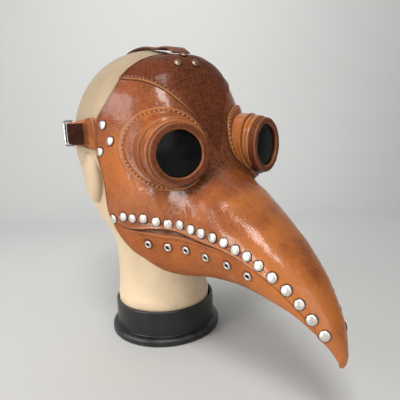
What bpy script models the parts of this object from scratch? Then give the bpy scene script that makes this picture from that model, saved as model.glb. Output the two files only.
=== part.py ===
# Plague-doctor beak mask of leather, worn by a limbless display head on a round base.
# Units are metres, +Z is up, the beak points to -Y, the wearer's right side is -X.
# The origin is the centre of the base's underside.
import math

import bmesh
import bpy
import numpy as np
from mathutils import Matrix, Vector

for _o in list(bpy.data.objects):
    bpy.data.objects.remove(_o, do_unlink=True)

CM = 0.01
GAP = 0.03                      # clearance between neighbouring pieces, cm

# ---------------------------------------------------------------- mask form (cm)
# Design sections from the face opening (0) to the beak tip (10). In the plane of
# symmetry each section runs from its top point to its bottom point through two
# shoulder points; half_w is its half width, and the last two numbers are the
# roundness of its upper and lower half (1 is an ellipse, less is squarer).
#   top y, z      shoulder y, z   jowl y, z      bottom y, z   half_w  up    low
SECTIONS = np.array([
    [-4.3, 28.2,  -1.4, 23.2,   -0.2, 11.2,   -8.7, 8.5,   7.95, 0.80, 0.95],
    [-6.6, 27.6,  -5.5, 21.9,   -3.2, 9.6,    -9.5, 8.4,   7.05, 1.00, 0.95],
    [-8.1, 25.0,  -8.1, 21.3,   -6.9, 9.5,   -10.7, 8.6,   5.80, 1.00, 1.00],
    [-9.4, 22.0,  -8.7, 19.4,   -9.4, 10.0,  -12.3, 8.8,   4.75, 1.00, 1.00],
    [-10.5, 18.7, -11.4, 16.5, -12.2, 10.5,  -14.2, 8.8,   4.10, 1.05, 1.00],
    [-13.2, 16.9, -14.2, 14.8, -14.8, 11.0,  -16.1, 8.6,   3.65, 1.05, 1.00],
    [-16.1, 15.0, -16.5, 13.3, -16.6, 10.8,  -17.6, 8.3,   3.10, 1.00, 1.00],
    [-19.0, 12.8, -18.9, 11.5, -18.9, 10.0,  -19.5, 7.8,   2.50, 1.00, 1.00],
    [-21.0, 10.7, -20.7, 9.7,  -20.6, 8.6,   -20.9, 7.2,   1.85, 1.00, 1.00],
    [-22.4, 8.5,  -22.2, 7.9,  -22.0, 7.3,   -22.1, 6.5,   1.15, 1.00, 1.00],
    [-23.15, 6.35, -23.0, 6.1, -22.8, 5.85, -22.65, 5.6,  0.48, 1.00, 1.00]])
BEAK_TIP = (0.0, -22.98, 5.36)
LEATHER = 0.25                  # wall of the moulded leather
FOREHEAD_RAISE = 0.12           # the forehead panel laps over the cheeks
JAW_DROP = 0.10                 # the jaw panel tucks in below the cheeks
SEAM_TIP = 3.75                 # section where the forehead panel comes to a point
JAW_END = 8.6                   # section where the jaw panel stops, before the tip

# brow seam: angle from the ridge (degrees) at sections 0, 1, 2, 3 and the point
BROW = ((0.0, 41.0), (1.0, 38.5), (2.0, 30.5), (3.0, 14.0), (SEAM_TIP, 1.5))
# jaw seam: angle from the ridge at sections 0 ... 10
JAW = ((0.0, 109.0), (1.0, 106.5), (2.0, 103.5), (3.0, 101.0), (4.0, 97.0),
       (5.0, 94.5), (6.0, 93.0), (7.0, 93.0), (8.0, 94.0), (9.0, 97.0), (10.0, 102.0))

# ---------------------------------------------------------------- goggles (cm)
GOGGLE_FACE = (-4.83, -11.2, 19.86)     # centre of the rim's front face, right eye
GOGGLE_AZ = 17.0                        # degrees outward from straight ahead
GOGGLE_TILT = 0.0
RIM_R, RIM_LEN, RIM_OPEN = 2.48, 0.62, 1.88
TUBE_R_BASE, TUBE_R_TOP, TUBE_WALL = 2.92, 2.62, 0.30
DISC_R, DISC_SHIFT, DISC_T = 3.4, (0.35, 0.25), 0.15
DISC_LIFT = 0.09                # the disc follows the cheek, this far out
EYE_HOLE_R = 2.15
LENS_R, LENS_T, LENS_SET = 2.02, 0.22, 0.30

# ---------------------------------------------------------------- display head (cm)
SKULL_C = (0.61, 20.36)                 # centre y, z
SKULL = (7.65, 9.6, 8.8)                # half width, half length, half height
SKULL_TILT = 0.245
NECK_R = 4.95
BASE_R, BASE_FLANGE_R = 5.30, 5.87
BASE_FLANGE_H, BASE_H = 0.80, 3.52
NECK_FOOT_Z = 1.20

# ---------------------------------------------------------------- straps and metal (cm)
STRAP_W, STRAP_T = 2.50, 0.20          # width where the short strap leaves the mask
STRAP_W_BAR = 1.90              # width at the buckle's bars
STRAP_Z = 21.4
RIVET_R, RIVET_H = 0.42, 0.20
EYELET_R, EYELET_HOLE = 0.36, 0.15
RIVET_LIFT, EYELET_LIFT = 0.06, 0.06
CROWN_FROM, CROWN_TO = 54.0, 172.0      # degrees over the head from the face
CROWN_LIFT_FRONT = 0.80
CROWN_LIFT_REST = 0.12


def spline(table, t):
    """Smooth curve through evenly spaced rows of a table."""
    p = np.asarray(table, float)
    n = len(p)
    t = np.clip(np.asarray(t, float), -0.3, n - 1)
    i = np.clip(np.floor(t).astype(int), 0, n - 2)
    f = (t - i)[..., None]
    e = np.vstack([2 * p[:1] - p[1:2], p, 2 * p[-1:] - p[-2:-1]])
    a, b, c, d = e[i], e[i + 1], e[i + 2], e[i + 3]
    return .5 * ((2 * b) + (c - a) * f + (2 * a - 5 * b + 4 * c - d) * f ** 2
                 + (3 * b - a - 3 * c + d) * f ** 3)


def through(pairs, x):
    """Smooth curve y(x) through unevenly spaced (x, y) pairs (monotone cubic)."""
    xs = np.array([p[0] for p in pairs], float)
    ys = np.array([p[1] for p in pairs], float)
    x = np.clip(np.asarray(x, float), xs[0], xs[-1])
    h = np.diff(xs)
    s = np.diff(ys) / h
    m = np.empty(len(xs))
    m[0], m[-1] = s[0], s[-1]
    for k in range(1, len(xs) - 1):
        m[k] = 0 if s[k - 1] * s[k] <= 0 else (
            (h[k - 1] + h[k]) * 3 / ((2 * h[k] + h[k - 1]) / s[k - 1] + (h[k] + 2 * h[k - 1]) / s[k]))
    i = np.clip(np.searchsorted(xs, x) - 1, 0, len(xs) - 2)
    u = (x - xs[i]) / h[i]
    return ((2 * u ** 3 - 3 * u ** 2 + 1) * ys[i] + (u ** 3 - 2 * u ** 2 + u) * h[i] * m[i]
            + (-2 * u ** 3 + 3 * u ** 2) * ys[i + 1] + (u ** 3 - u ** 2) * h[i] * m[i + 1])


def form(t, phi):
    """Outer surface of the mask. t is the section, phi the angle from the ridge,
    positive to the wearer's right (-X)."""
    t, phi = np.broadcast_arrays(np.asarray(t, float), np.asarray(phi, float))
    q = spline(SECTIONS, t.ravel()).reshape(t.shape + (SECTIONS.shape[1],))
    u = (1 - np.cos(phi)) / 2
    v = 1 - u
    b = [v ** 3, 3 * v * v * u, 3 * v * u * u, u ** 3]
    y = sum(b[k] * q[..., 2 * k] for k in range(4))
    z = sum(b[k] * q[..., 2 * k + 1] for k in range(4))
    s = np.sin(phi)
    x = -q[..., 8] * np.sign(s) * np.abs(s) ** (q[..., 9] * v + q[..., 10] * u)
    return np.stack([x, y, z], -1)


def form_normal(t, phi):
    """Outward unit normal of the mask's surface."""
    e = 2e-3
    t = np.asarray(t, float)
    phi = np.asarray(phi, float)
    ph = np.where(np.abs(phi) < 0.02, 0.02 * np.where(phi < 0, -1, 1), phi)
    ph = np.where(np.abs(np.abs(ph) - np.pi) < 0.02, np.sign(ph) * (np.pi - 0.02), ph)
    dt = form(t + e, ph) - form(t - e, ph)
    dp = form(t, ph + e) - form(t, ph - e)
    n = np.cross(dp, dt)
    n = n / np.maximum(np.linalg.norm(n, axis=-1, keepdims=True), 1e-12)
    centre = np.abs(phi) < 0.02
    n[..., 0] = np.where(centre | (np.abs(np.abs(phi) - np.pi) < 0.02), 0.0, n[..., 0])
    n = n / np.maximum(np.linalg.norm(n, axis=-1, keepdims=True), 1e-12)
    return n


_probe = form(np.array([5.0]), np.array([0.8]))[0] - np.array([0, -16.0, 12.5])
FLIP = 1.0 if np.dot(_probe, form_normal(np.array([5.0]), np.array([0.8]))[0]) > 0 else -1.0


def offset(t, phi, d):
    return form(t, phi) + FLIP * form_normal(t, phi) * np.asarray(d)[..., None]


def material(name, colour, roughness, metallic=0.0):
    m = bpy.data.materials.new(name)
    m.use_nodes = True
    p = m.node_tree.nodes["Principled BSDF"]
    p.inputs["Base Color"].default_value = (*colour, 1.0)
    p.inputs["Roughness"].default_value = roughness
    p.inputs["Metallic"].default_value = metallic
    m.diffuse_color = (*colour, 1.0)
    return m


TAN = (0.36, 0.12, 0.035)
DARK_TAN = (0.17, 0.05, 0.02)
STRAP_BROWN = (0.08, 0.025, 0.012)
NICKEL = (0.72, 0.71, 0.69)


def solid(name, verts, faces, mat, smooth=True, angle=35.0):
    """One closed body from points in cm and faces, welded and facing out."""
    bm = bmesh.new()
    vs = [bm.verts.new(Vector(v) * CM) for v in verts]
    for f in faces:
        ids = []
        for i in f:
            if not ids or i != ids[-1]:
                ids.append(i)
        if len(set(ids)) >= 3:
            try:
                bm.faces.new([vs[i] for i in ids])
            except ValueError:
                pass
    bmesh.ops.remove_doubles(bm, verts=bm.verts, dist=2e-6)
    bmesh.ops.dissolve_degenerate(bm, edges=bm.edges, dist=1e-6)
    loose = [v for v in bm.verts if not v.link_faces]
    bmesh.ops.delete(bm, geom=loose, context='VERTS')
    bmesh.ops.recalc_face_normals(bm, faces=bm.faces)
    if bm.calc_volume(signed=True) < 0:
        bmesh.ops.reverse_faces(bm, faces=bm.faces)
    me = bpy.data.meshes.new(name)
    bm.to_mesh(me)
    bm.free()
    ob = bpy.data.objects.new(name, me)
    bpy.context.scene.collection.objects.link(ob)
    me.materials.append(mat)
    if smooth:
        me.shade_smooth()
        me.set_sharp_from_angle(angle=math.radians(angle))
    return ob


def cutter(name, verts, faces):
    ob = solid(name, verts, faces, material(name + "_m", (1, 0, 0), 0.5), smooth=False)
    ob.hide_render = True
    ob.display_type = 'WIRE'
    return ob


def boolean(ob, other, operation):
    m = ob.modifiers.new(operation.lower() + "_" + other.name, 'BOOLEAN')
    m.operation = operation
    m.object = other
    m.solver = 'EXACT'
    return m


def wall(name, t_of, phi_of, rows, cols, out_d, in_d, mat):
    """Leather wall on the mask's form: a grid of rows by cols cells, the outer skin
    at out_d and the inner at in_d from the form."""
    I, J = np.meshgrid(np.arange(rows + 1), np.arange(cols + 1), indexing='ij')
    P = phi_of(I, J)
    T = cut_edge(t_of(I, J), P)
    out = offset(T, P, np.full(T.shape, out_d))
    half = spline(SECTIONS, T.ravel()).reshape(T.shape + (-1,))[..., 8]
    depth = np.minimum(out_d - in_d, 0.45 * half)
    inn = offset(T, P, out_d - depth)
    n = (rows + 1) * (cols + 1)
    verts = np.vstack([out.reshape(-1, 3), inn.reshape(-1, 3)])
    key = {}
    remap = np.arange(len(verts))
    for k, v in enumerate(np.round(verts, 4)):
        kk = (k >= n,) + tuple(v + 0.0)
        remap[k] = key.setdefault(kk, k)

    def vid(i, j, inner):
        return int(remap[i * (cols + 1) + j + (n if inner else 0)])

    faces = []
    edges = {}
    for i in range(rows):
        for j in range(cols):
            q = [(i, j), (i, j + 1), (i + 1, j + 1), (i + 1, j)]
            o4 = [vid(a, b, False) for a, b in q]
            i4 = [vid(a, b, True) for a, b in q]
            faces.append(o4)
            faces.append(i4[::-1])
            for k in range(4):
                a, b = o4[k], o4[(k + 1) % 4]
                if a == b:
                    continue
                e = (a, b)
                if (b, a) in edges:
                    del edges[(b, a)]
                else:
                    edges[e] = (i4[k], i4[(k + 1) % 4])
    for (a, b), (c, d) in edges.items():
        faces.append([b, a, c, d])
    return solid(name, verts, faces, mat)


# ================================================================ leather panels
def brow(t):
    return np.radians(through(BROW, t))


def jaw(t):
    return np.radians(through(JAW, t))


def seam_step(t, phi, gap):
    """Angle that spans a gap on the form at (t, phi)."""
    e = 1e-3
    g = np.linalg.norm(form(t, phi + e) - form(t, phi - e), axis=-1) / (2 * e)
    return gap / np.maximum(g, 0.3)


# the mask's rear edge, in sections from the face opening, at angles from the ridge: it
# stands back at the temple and is cut away at the ear
EDGE = ((40.0, 0.0), (44.0, 0.03), (48.0, 0.035), (52.0, 0.02), (56.0, -0.01), (60.0, -0.065), (64.0, -0.13),
        (68.0, -0.14), (72.0, -0.10), (76.0, -0.05), (80.0, 0.045), (84.0, 0.165), (88.0, 0.255), (92.0, 0.285),
        (96.0, 0.27), (100.0, 0.235), (104.0, 0.19), (108.0, 0.15), (112.0, 0.12), (118.0, 0.07), (128.0, 0.0))


def cut_edge(t, phi):
    a = np.abs(np.degrees(phi))
    a = np.minimum(a, 360.0 - a)
    return t + through(EDGE, a) * (1 - np.minimum(t, 1.0)) ** 2


mat_fore = material("forehead_leather", DARK_TAN, 0.45)
F_ROWS, F_COLS = 14, 16


def fore_t(I, J):
    return I / F_ROWS * (SEAM_TIP - 0.10)


def fore_phi(I, J):
    t = fore_t(I, J)
    lim = brow(t)
    lim = np.maximum(lim - seam_step(t, lim, GAP + 0.02), 0.004)
    return lim * (J / F_COLS * 2 - 1)


forehead = wall("forehead_panel", fore_t, fore_phi, F_ROWS, F_COLS,
                FOREHEAD_RAISE, FOREHEAD_RAISE - LEATHER, mat_fore)

mat_upper = material("cheek_beak_leather", TAN, 0.4)
# rows: dense at the face, the seam's point and the tip
U_T = np.concatenate([np.linspace(0, SEAM_TIP, 15), np.linspace(SEAM_TIP, JAW_END, 14)[1:],
                      [8.95, 9.3, 9.62, 9.86, 10.0]])
U_ROWS = len(U_T) - 1
U_SIDE, U_LOW = 11, 4           # columns per side above and below the jaw seam
U_COLS = 2 * (U_SIDE + U_LOW)


def upper_t(I, J):
    return U_T[I]


def upper_phi(I, J):
    t = U_T[I]
    side = np.where(J >= U_COLS // 2, 1.0, -1.0)
    k = np.abs(J - U_COLS // 2).astype(float)
    # the column next to the ridge opens out along the brow seam
    fold = brow(np.minimum(t, SEAM_TIP))
    start = np.where(t < SEAM_TIP - 1e-6, fold + seam_step(t, fold, GAP), 0.0)
    end = jaw(t)
    end = end - np.where(t <= JAW_END + 1e-6, seam_step(t, end, GAP), 0.0)
    f = np.clip(k / U_SIDE, 0, 1)
    phi = start + (end - start) * f
    g = np.clip((k - U_SIDE) / U_LOW, 0, 1)
    phi = np.where(k > U_SIDE, end + (np.pi - end) * g, phi)
    return side * phi


def build_upper():
    rows = U_ROWS
    halves = []
    verts, faces = [], []
    pts = {}

    def put(p, layer):
        k = (layer,) + tuple(np.round(p, 3) + 0.0)
        if k not in pts:
            pts[k] = len(verts)
            verts.append(p)
        return pts[k]

    for side in (1, -1):
        cols = U_SIDE + U_LOW
        I, K = np.meshgrid(np.arange(rows + 1), np.arange(cols + 1), indexing='ij')
        J = U_COLS // 2 + K
        T = U_T[I]
        P = upper_phi(I, J) * side
        T = cut_edge(T, P)
        out = offset(T, P, np.zeros(T.shape))
        Ti = np.where(T > 8.6, 8.6 + (T - 8.6) * 0.62, T)
        half = spline(SECTIONS, Ti.ravel()).reshape(T.shape + (-1,))[..., 8]
        inn = offset(Ti, P, -np.minimum(LEATHER, 0.42 * half))
        out[-1, :, :] = BEAK_TIP
        end = spline(SECTIONS, 8.6 + 1.4 * 0.62)
        inn[-1, :, :] = (0.0, (end[0] + end[6]) / 2, (end[1] + end[7]) / 2)
        ridge = (U_T >= SEAM_TIP - 1e-6)
        out[ridge, 0, 0] = 0.0
        inn[ridge, 0, 0] = 0.0
        out[:, -1, 0] = 0.0
        inn[:, -1, 0] = 0.0
        halves.append((side, out, inn))
    edges = {}
    for side, out, inn in halves:
        for i in range(rows):
            for k in range(U_SIDE + U_LOW):
                if not (k < U_SIDE or U_T[i] >= JAW_END - 1e-6):
                    continue
                q = [(i, k), (i, k + 1), (i + 1, k + 1), (i + 1, k)]
                if side < 0:
                    q = q[::-1]
                o4 = [put(out[a, b], 0) for a, b in q]
                i4 = [put(inn[a, b], 1) for a, b in q]
                faces.append(o4)
                faces.append(i4[::-1])
                for m in range(4):
                    a, b = o4[m], o4[(m + 1) % 4]
                    if a == b:
                        continue
                    if (b, a) in edges:
                        del edges[(b, a)]
                    else:
                        edges[(a, b)] = (i4[m], i4[(m + 1) % 4])
    for (a, b), (c, d) in edges.items():
        faces.append([b, a, c, d])
    return solid("cheek_beak_panel", verts, faces, mat_upper)


upper = build_upper()

mat_jaw = material("jaw_leather", TAN, 0.42)
J_ROWS, J_COLS = 24, 14


def jaw_t(I, J):
    return I / J_ROWS * (JAW_END - 0.06)


def jaw_phi(I, J):
    t = jaw_t(I, J)
    a = jaw(t)
    a = a + seam_step(t, a, GAP)
    return a + (2 * np.pi - 2 * a) * J / J_COLS


def wrap(phi):
    return np.where(phi > np.pi, phi - 2 * np.pi, phi)


jaw_panel = wall("jaw_panel", jaw_t, lambda I, J: wrap(jaw_phi(I, J)), J_ROWS, J_COLS,
                 -JAW_DROP, -JAW_DROP - LEATHER, mat_jaw)


# ================================================================ goggles
def goggle_frame(side):
    """Centre, outward axis and the two cross directions; side -1 is the wearer's right."""
    a, e = math.radians(GOGGLE_AZ), math.radians(GOGGLE_TILT)
    axis = np.array([side * math.sin(a) * math.cos(e), -math.cos(a) * math.cos(e), math.sin(e)])
    out = np.array([side * math.cos(a), math.sin(a), 0.0])
    up = np.cross(out, axis) * side
    up = up if up[2] > 0 else -up
    c = np.array([abs(GOGGLE_FACE[0]) * side, GOGGLE_FACE[1], GOGGLE_FACE[2]])
    return c, axis, out, up


_T0, _P0 = np.meshgrid(np.linspace(0.1, 5.0, 50), np.radians(np.linspace(3, 110, 54)), indexing='ij')
_GRID = form(_T0, _P0)


def hit(c, axis, out, up, u, v):
    """(t, phi) where the line through c + u*out + v*up along the axis meets the form."""
    side = np.sign(c[0])
    d = _GRID * np.array([-side, 1, 1]) - c
    r = (d @ out - u) ** 2 + (d @ up - v) ** 2
    depth = d @ axis
    best = np.where(depth > -8, r, 1e9)
    i = np.unravel_index(np.argmin(best), best.shape)
    t, p = _T0[i], _P0[i]
    for _ in range(25):
        def f(tt, pp):
            q = form(np.array([tt]), np.array([-side * pp]))[0] - c
            return np.array([q @ out - u, q @ up - v])
        e = 1e-4
        f0 = f(t, p)
        Jm = np.array([(f(t + e, p) - f0) / e, (f(t, p + e) - f0) / e]).T
        step = np.linalg.lstsq(Jm, -f0, rcond=None)[0]
        k = min(1.0, 0.4 / max(np.abs(step).max(), 1e-9))
        t, p = t + step[0] * k, p + step[1] * k
        if np.abs(f0).max() < 1e-6:
            break
    return t, -side * p


def on_form(c, axis, out, up, u, v):
    t, p = hit(c, axis, out, up, u, v)
    return (form(np.array([t]), np.array([p]))[0],
            FLIP * form_normal(np.array([t]), np.array([p]))[0])


SEG = 28


def ring_grid(name, rings, mat, angle=35.0):
    """Closed body from a loop of rings, each SEG points; last ring joins the first."""
    n = len(rings)
    verts = np.vstack(rings)
    faces = []
    for a in range(n):
        b = (a + 1) % n
        for k in range(SEG):
            m = (k + 1) % SEG
            faces.append([a * SEG + k, a * SEG + m, b * SEG + m, b * SEG + k])
    return solid(name, verts, faces, mat, angle=angle)


def goggle(side, tag):
    c, axis, out, up = goggle_frame(side)
    ang = np.arange(SEG) * 2 * np.pi / SEG

    def seat(r, shift=(0.0, 0.0)):
        P, N = [], []
        for a in ang:
            p, n = on_form(c, axis, out, up, shift[0] + r * math.cos(a), shift[1] + r * math.sin(a))
            P.append(p)
            N.append(n)
        return np.array(P), np.array(N)

    def flat(r, depth):
        return np.array([c + out * r * math.cos(a) + up * r * math.sin(a) - axis * depth for a in ang])

    # stitched disc, lying on the cheek round the eye hole
    radii = [(EYE_HOLE_R + 0.05 + (DISC_R - EYE_HOLE_R - 0.05) * f,
              (DISC_SHIFT[0] * f, DISC_SHIFT[1] * f)) for f in (0.0, 0.35, 0.7, 1.0)]
    lo, hi = [], []
    for r, sh in radii:
        p, n = seat(r, sh)
        lo.append(p + n * DISC_LIFT)
        hi.append(p + n * (DISC_LIFT + DISC_T))
    ring_grid("eye_disc_" + tag, lo + hi[::-1], material("eye_disc_leather_" + tag, TAN, 0.45))

    # tube, its foot cut to the disc
    foot_o, no = seat(TUBE_R_BASE - 0.02)
    foot_i, ni = seat(TUBE_R_BASE - TUBE_WALL)
    clear = DISC_LIFT + DISC_T + GAP
    dep_o = -((foot_o - c) @ axis) - clear * 1.12 / np.maximum((no @ axis), 0.35) * 1.0
    dep_i = -((foot_i - c) @ axis) - clear * 1.12 / np.maximum((ni @ axis), 0.35) * 1.0
    top = RIM_LEN + GAP
    rings = []

    def at(r, dep):
        return np.array([c + out * r * math.cos(a) + up * r * math.sin(a) - axis * d
                         for a, d in zip(ang, dep)])

    full = np.full(SEG, top)
    rings.append(at(TUBE_R_BASE, dep_o))
    rings.append(at(TUBE_R_BASE - 0.06, dep_o * 0.62 + full * 0.38))
    rings.append(at(TUBE_R_BASE - 0.18, dep_o * 0.56 + full * 0.44))
    rings.append(at(TUBE_R_TOP, full))
    rings.append(at(TUBE_R_TOP - TUBE_WALL, full))
    rings.append(at(TUBE_R_BASE - TUBE_WALL, dep_i))
    ring_grid("goggle_tube_" + tag, rings, material("goggle_leather_" + tag, TAN, 0.4))

    # rim with a step that holds the lens
    rim = [flat(RIM_OPEN, 0.06), flat(RIM_OPEN + 0.10, 0.0), flat(RIM_R - 0.14, 0.0),
           flat(RIM_R, 0.12), flat(RIM_R, RIM_LEN), flat(LENS_R + GAP, RIM_LEN),
           flat(LENS_R + GAP, LENS_SET - GAP), flat(RIM_OPEN, LENS_SET - GAP)]
    ring_grid("goggle_rim_" + tag, rim, material("goggle_rim_leather_" + tag, DARK_TAN, 0.4))

    # lens, a dark disc
    verts = np.vstack([flat(LENS_R, LENS_SET), flat(LENS_R, LENS_SET + LENS_T)])
    faces = [list(range(SEG)), list(range(SEG, 2 * SEG))[::-1]]
    for k in range(SEG):
        m = (k + 1) % SEG
        faces.append([k, SEG + k, SEG + m, m])
    solid("lens_" + tag, verts, faces, material("lens_dark_" + tag, (0.01, 0.01, 0.012), 0.08))

    # eye hole through the cheek panel
    dep = -((foot_i - c) @ axis)
    near, far = float(dep.min()) - 1.2, float(dep.max()) + 2.2
    verts = np.vstack([flat(EYE_HOLE_R, near), flat(EYE_HOLE_R, far)])
    faces = [list(range(SEG)), list(range(SEG, 2 * SEG))[::-1]]
    for k in range(SEG):
        m = (k + 1) % SEG
        faces.append([k, SEG + k, SEG + m, m])
    cut = cutter("eye_hole_cutter_" + tag, verts, faces)
    boolean(upper, cut, 'DIFFERENCE')


for _side, _tag in ((-1, "right"), (1, "left")):
    goggle(_side, _tag)


# ================================================================ display head
def skull_section(z):
    """Centre y, half width and half length of the skull's level section."""
    ct, st = math.cos(SKULL_TILT), math.sin(SKULL_TILT)
    b2, c2 = SKULL[1] ** 2, SKULL[2] ** 2
    # (y ct + h st)^2/b2 + (-y st + h ct)^2/c2 = 1 at height h above the centre
    A = ct * ct / b2 + st * st / c2
    h = z - SKULL_C[1]
    B = 2 * h * ct * st * (1 / b2 - 1 / c2)
    C = h * h * (st * st / b2 + ct * ct / c2)
    yc = -B / (2 * A)
    m = max(1 - (C - B * B / (4 * A)), 0.0)
    return SKULL_C[0] + yc, SKULL[0] * math.sqrt(m), math.sqrt(m / A)


_ct, _st = math.cos(SKULL_TILT), math.sin(SKULL_TILT)
HEAD_TOP = SKULL_C[1] + math.sqrt((SKULL[1] * _st) ** 2 + (SKULL[2] * _ct) ** 2)
# below the skull: centre y, half width, half front, half back at each height
LOWER = ((NECK_FOOT_Z, 0.0, 4.95, 4.95, 4.95), (4.2, 0.0, 4.98, 4.98, 4.98), (5.2, 0.0, 4.85, 4.85, 4.85),
         (8.0, 0.1, 4.72, 4.7, 4.7), (10.0, 0.1, 4.9, 5.3, 4.8), (11.5, 0.1, 5.45, 6.3, 5.2),
         (13.0, 0.1, 6.3, 7.1, 6.0), (14.5, 0.15, 6.9, 7.6, 7.0), (16.0, 0.2, 7.2, 7.9, 8.0))
JOIN_Z = 17.5
EAR = ((7.2, -0.35, 17.4), (0.98, 1.40, 2.5), 0.12)     # centre, half sizes, lean back


def head_level(z):
    """Centre y, half width, half front and half back of the head at height z."""
    def skull(zz):
        yc, a, b = skull_section(zz)
        front = min(b + (0.0 if zz > 24 else 0.0), b)
        return (yc, a, front, b)
    if z >= JOIN_Z:
        return skull(z)
    rows = [(zz, y, a, f, b) for zz, y, a, f, b in LOWER]
    for zz in (JOIN_Z, JOIN_Z + 1.0):
        rows.append((zz,) + skull(zz))
    return tuple(float(through([(r[0], r[k]) for r in rows], z)) for k in (1, 2, 3, 4))


HEAD_SEG = 40


def narrow(y):
    """The face is a little slimmer than the skull, so that the mask clears it."""
    f = min(max((-0.6 - y) / 2.2, 0.0), 1.0)
    return 1.0 - 0.055 * f * f * (3 - 2 * f)


def head_ring(z, grow=0.0, seg=HEAD_SEG):
    yc, a, f, b = head_level(z)
    pts = []
    for k in range(seg):
        w = 2 * math.pi * k / seg
        x, y = math.sin(w), -math.cos(w)
        px, py = x * (a + grow), yc + y * ((f if y < 0 else b) + grow)
        pts.append((px * narrow(py), py, z))
    return pts


def head_point(z, w, lift):
    """Point on the head at height z and angle w from the face, moved out by lift."""
    def p(zz, ww):
        yc, a, f, b = head_level(zz)
        x, y = math.sin(ww), -math.cos(ww)
        py = yc + y * (f if y < 0 else b)
        return np.array([x * a * narrow(py), py, zz])
    e = 1e-3
    zz = min(z, HEAD_TOP - 0.02)
    n = np.cross(p(zz, w + e) - p(zz, w - e), p(zz + e, w) - p(zz - e, w))
    n /= np.linalg.norm(n)
    q = p(zz, w)
    if np.dot(n, q - np.array([0, head_level(zz)[0], min(zz, SKULL_C[1])])) < 0:
        n = -n
    return q + n * lift


zs = list(np.concatenate([[NECK_FOOT_Z, 3.4, 3.75, 4.15, 4.6, 5.4], np.linspace(7.0, JOIN_Z, 11)]))
_t = np.linspace(0, 1, 13)[1:-1]
zs += [JOIN_Z + (HEAD_TOP - JOIN_Z) * math.sin(math.pi / 2 * k) for k in _t] + [HEAD_TOP - 0.02]
verts, faces = [], []
for z in zs:
    verts += head_ring(z)
nz = len(zs)
for i in range(nz - 1):
    for k in range(HEAD_SEG):
        m = (k + 1) % HEAD_SEG
        faces.append([i * HEAD_SEG + k, i * HEAD_SEG + m, (i + 1) * HEAD_SEG + m, (i + 1) * HEAD_SEG + k])
faces.append(list(range(HEAD_SEG))[::-1])
verts.append((0, head_level(HEAD_TOP - 0.02)[0], HEAD_TOP))
for k in range(HEAD_SEG):
    faces.append([(nz - 1) * HEAD_SEG + k, (nz - 1) * HEAD_SEG + (k + 1) % HEAD_SEG, nz * HEAD_SEG])
mat_head = material("head_form_cream", (0.72, 0.55, 0.36), 0.5)
head = solid("display_head", verts, faces, mat_head)


def ear(side, tag):
    bm = bmesh.new()
    bmesh.ops.create_uvsphere(bm, u_segments=18, v_segments=12, radius=1.0)
    c, s, lean = EAR
    m = (Matrix.Translation(Vector((side * c[0], c[1], c[2])) * CM)
         @ Matrix.Rotation(-lean, 4, 'X') @ Matrix.Rotation(side * 0.25, 4, 'Z')
         @ Matrix.Diagonal((s[0] * CM, s[1] * CM, s[2] * CM, 1.0)))
    bmesh.ops.transform(bm, matrix=m, verts=bm.verts)
    me = bpy.data.meshes.new("ear_" + tag)
    bm.to_mesh(me)
    bm.free()
    ob = bpy.data.objects.new("ear_" + tag, me)
    bpy.context.scene.collection.objects.link(ob)
    ob.hide_render = True
    ob.display_type = 'WIRE'
    me.materials.append(mat_head)
    return ob


for _side, _tag in ((-1, "right"), (1, "left")):
    boolean(head, ear(_side, _tag), 'UNION')


# ================================================================ base
def lathe(name, profile, mat, seg=48, centre=(0, 0)):
    verts, faces, rows = [], [], []
    for r, z in profile:
        if r < 1e-6:
            rows.append([len(verts)] * seg)
            verts.append((centre[0], centre[1], z))
        else:
            rows.append([len(verts) + k for k in range(seg)])
            verts += [(centre[0] + r * math.cos(2 * math.pi * k / seg),
                       centre[1] + r * math.sin(2 * math.pi * k / seg), z) for k in range(seg)]
    for a in range(len(rows) - 1):
        for k in range(seg):
            m = (k + 1) % seg
            f = [rows[a][k], rows[a][m], rows[a + 1][m], rows[a + 1][k]]
            g = []
            for i in f:
                if i not in g:
                    g.append(i)
            faces.append(g)
    return solid(name, verts, faces, mat)


lathe("base", [(0, 0), (BASE_FLANGE_R - 0.10, 0), (BASE_FLANGE_R, 0.10),
               (BASE_FLANGE_R, BASE_FLANGE_H - 0.22), (BASE_FLANGE_R - 0.18, BASE_FLANGE_H - 0.03),
               (BASE_R + 0.06, BASE_FLANGE_H), (BASE_R, BASE_FLANGE_H + 0.08), (BASE_R, BASE_H - 0.12),
               (BASE_R - 0.10, BASE_H), (NECK_R + 2 * GAP, BASE_H - 0.02),
               (NECK_R + 2 * GAP, NECK_FOOT_Z - GAP), (0, NECK_FOOT_Z - GAP)],
      material("base_black", (0.022, 0.022, 0.024), 0.45), seg=44)


# ================================================================ straps
def band(name, centre_line, across, normals, width, thick, mat):
    """Flat strap: its inner face on the centre line, moved out by its thickness."""
    verts, faces = [], []
    n = len(centre_line)
    for p, a, d in zip(centre_line, across, normals):
        p, a, d = np.array(p), np.array(a), np.array(d)
        verts += [p - a * width / 2, p + a * width / 2, p + a * width / 2 + d * thick, p - a * width / 2 + d * thick]
    for i in range(n - 1):
        for k in range(4):
            m = (k + 1) % 4
            faces.append([i * 4 + k, i * 4 + m, (i + 1) * 4 + m, (i + 1) * 4 + k])
    faces.append([0, 1, 2, 3][::-1])
    faces.append([(n - 1) * 4 + k for k in range(4)])
    return solid(name, verts, faces, mat, angle=40)


def head_frame(z, w, lift):
    """Point off the head, outward normal and the direction up along the head."""
    q = head_point(z, w, lift)
    n = head_point(z, w, lift + 1.0) - q
    n /= np.linalg.norm(n)
    g = head_point(z, w + 0.01, lift) - head_point(z, w - 0.01, lift)
    g /= np.linalg.norm(g)
    up = np.cross(g, n)
    up = up if up[2] > 0 else -up
    return q, n, up / np.linalg.norm(up)


mat_strap = material("strap_leather", TAN, 0.5)
mat_dark = material("dark_strap_leather", STRAP_BROWN, 0.5)
mat_metal = material("buckle_nickel", NICKEL, 0.25, 1.0)


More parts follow.
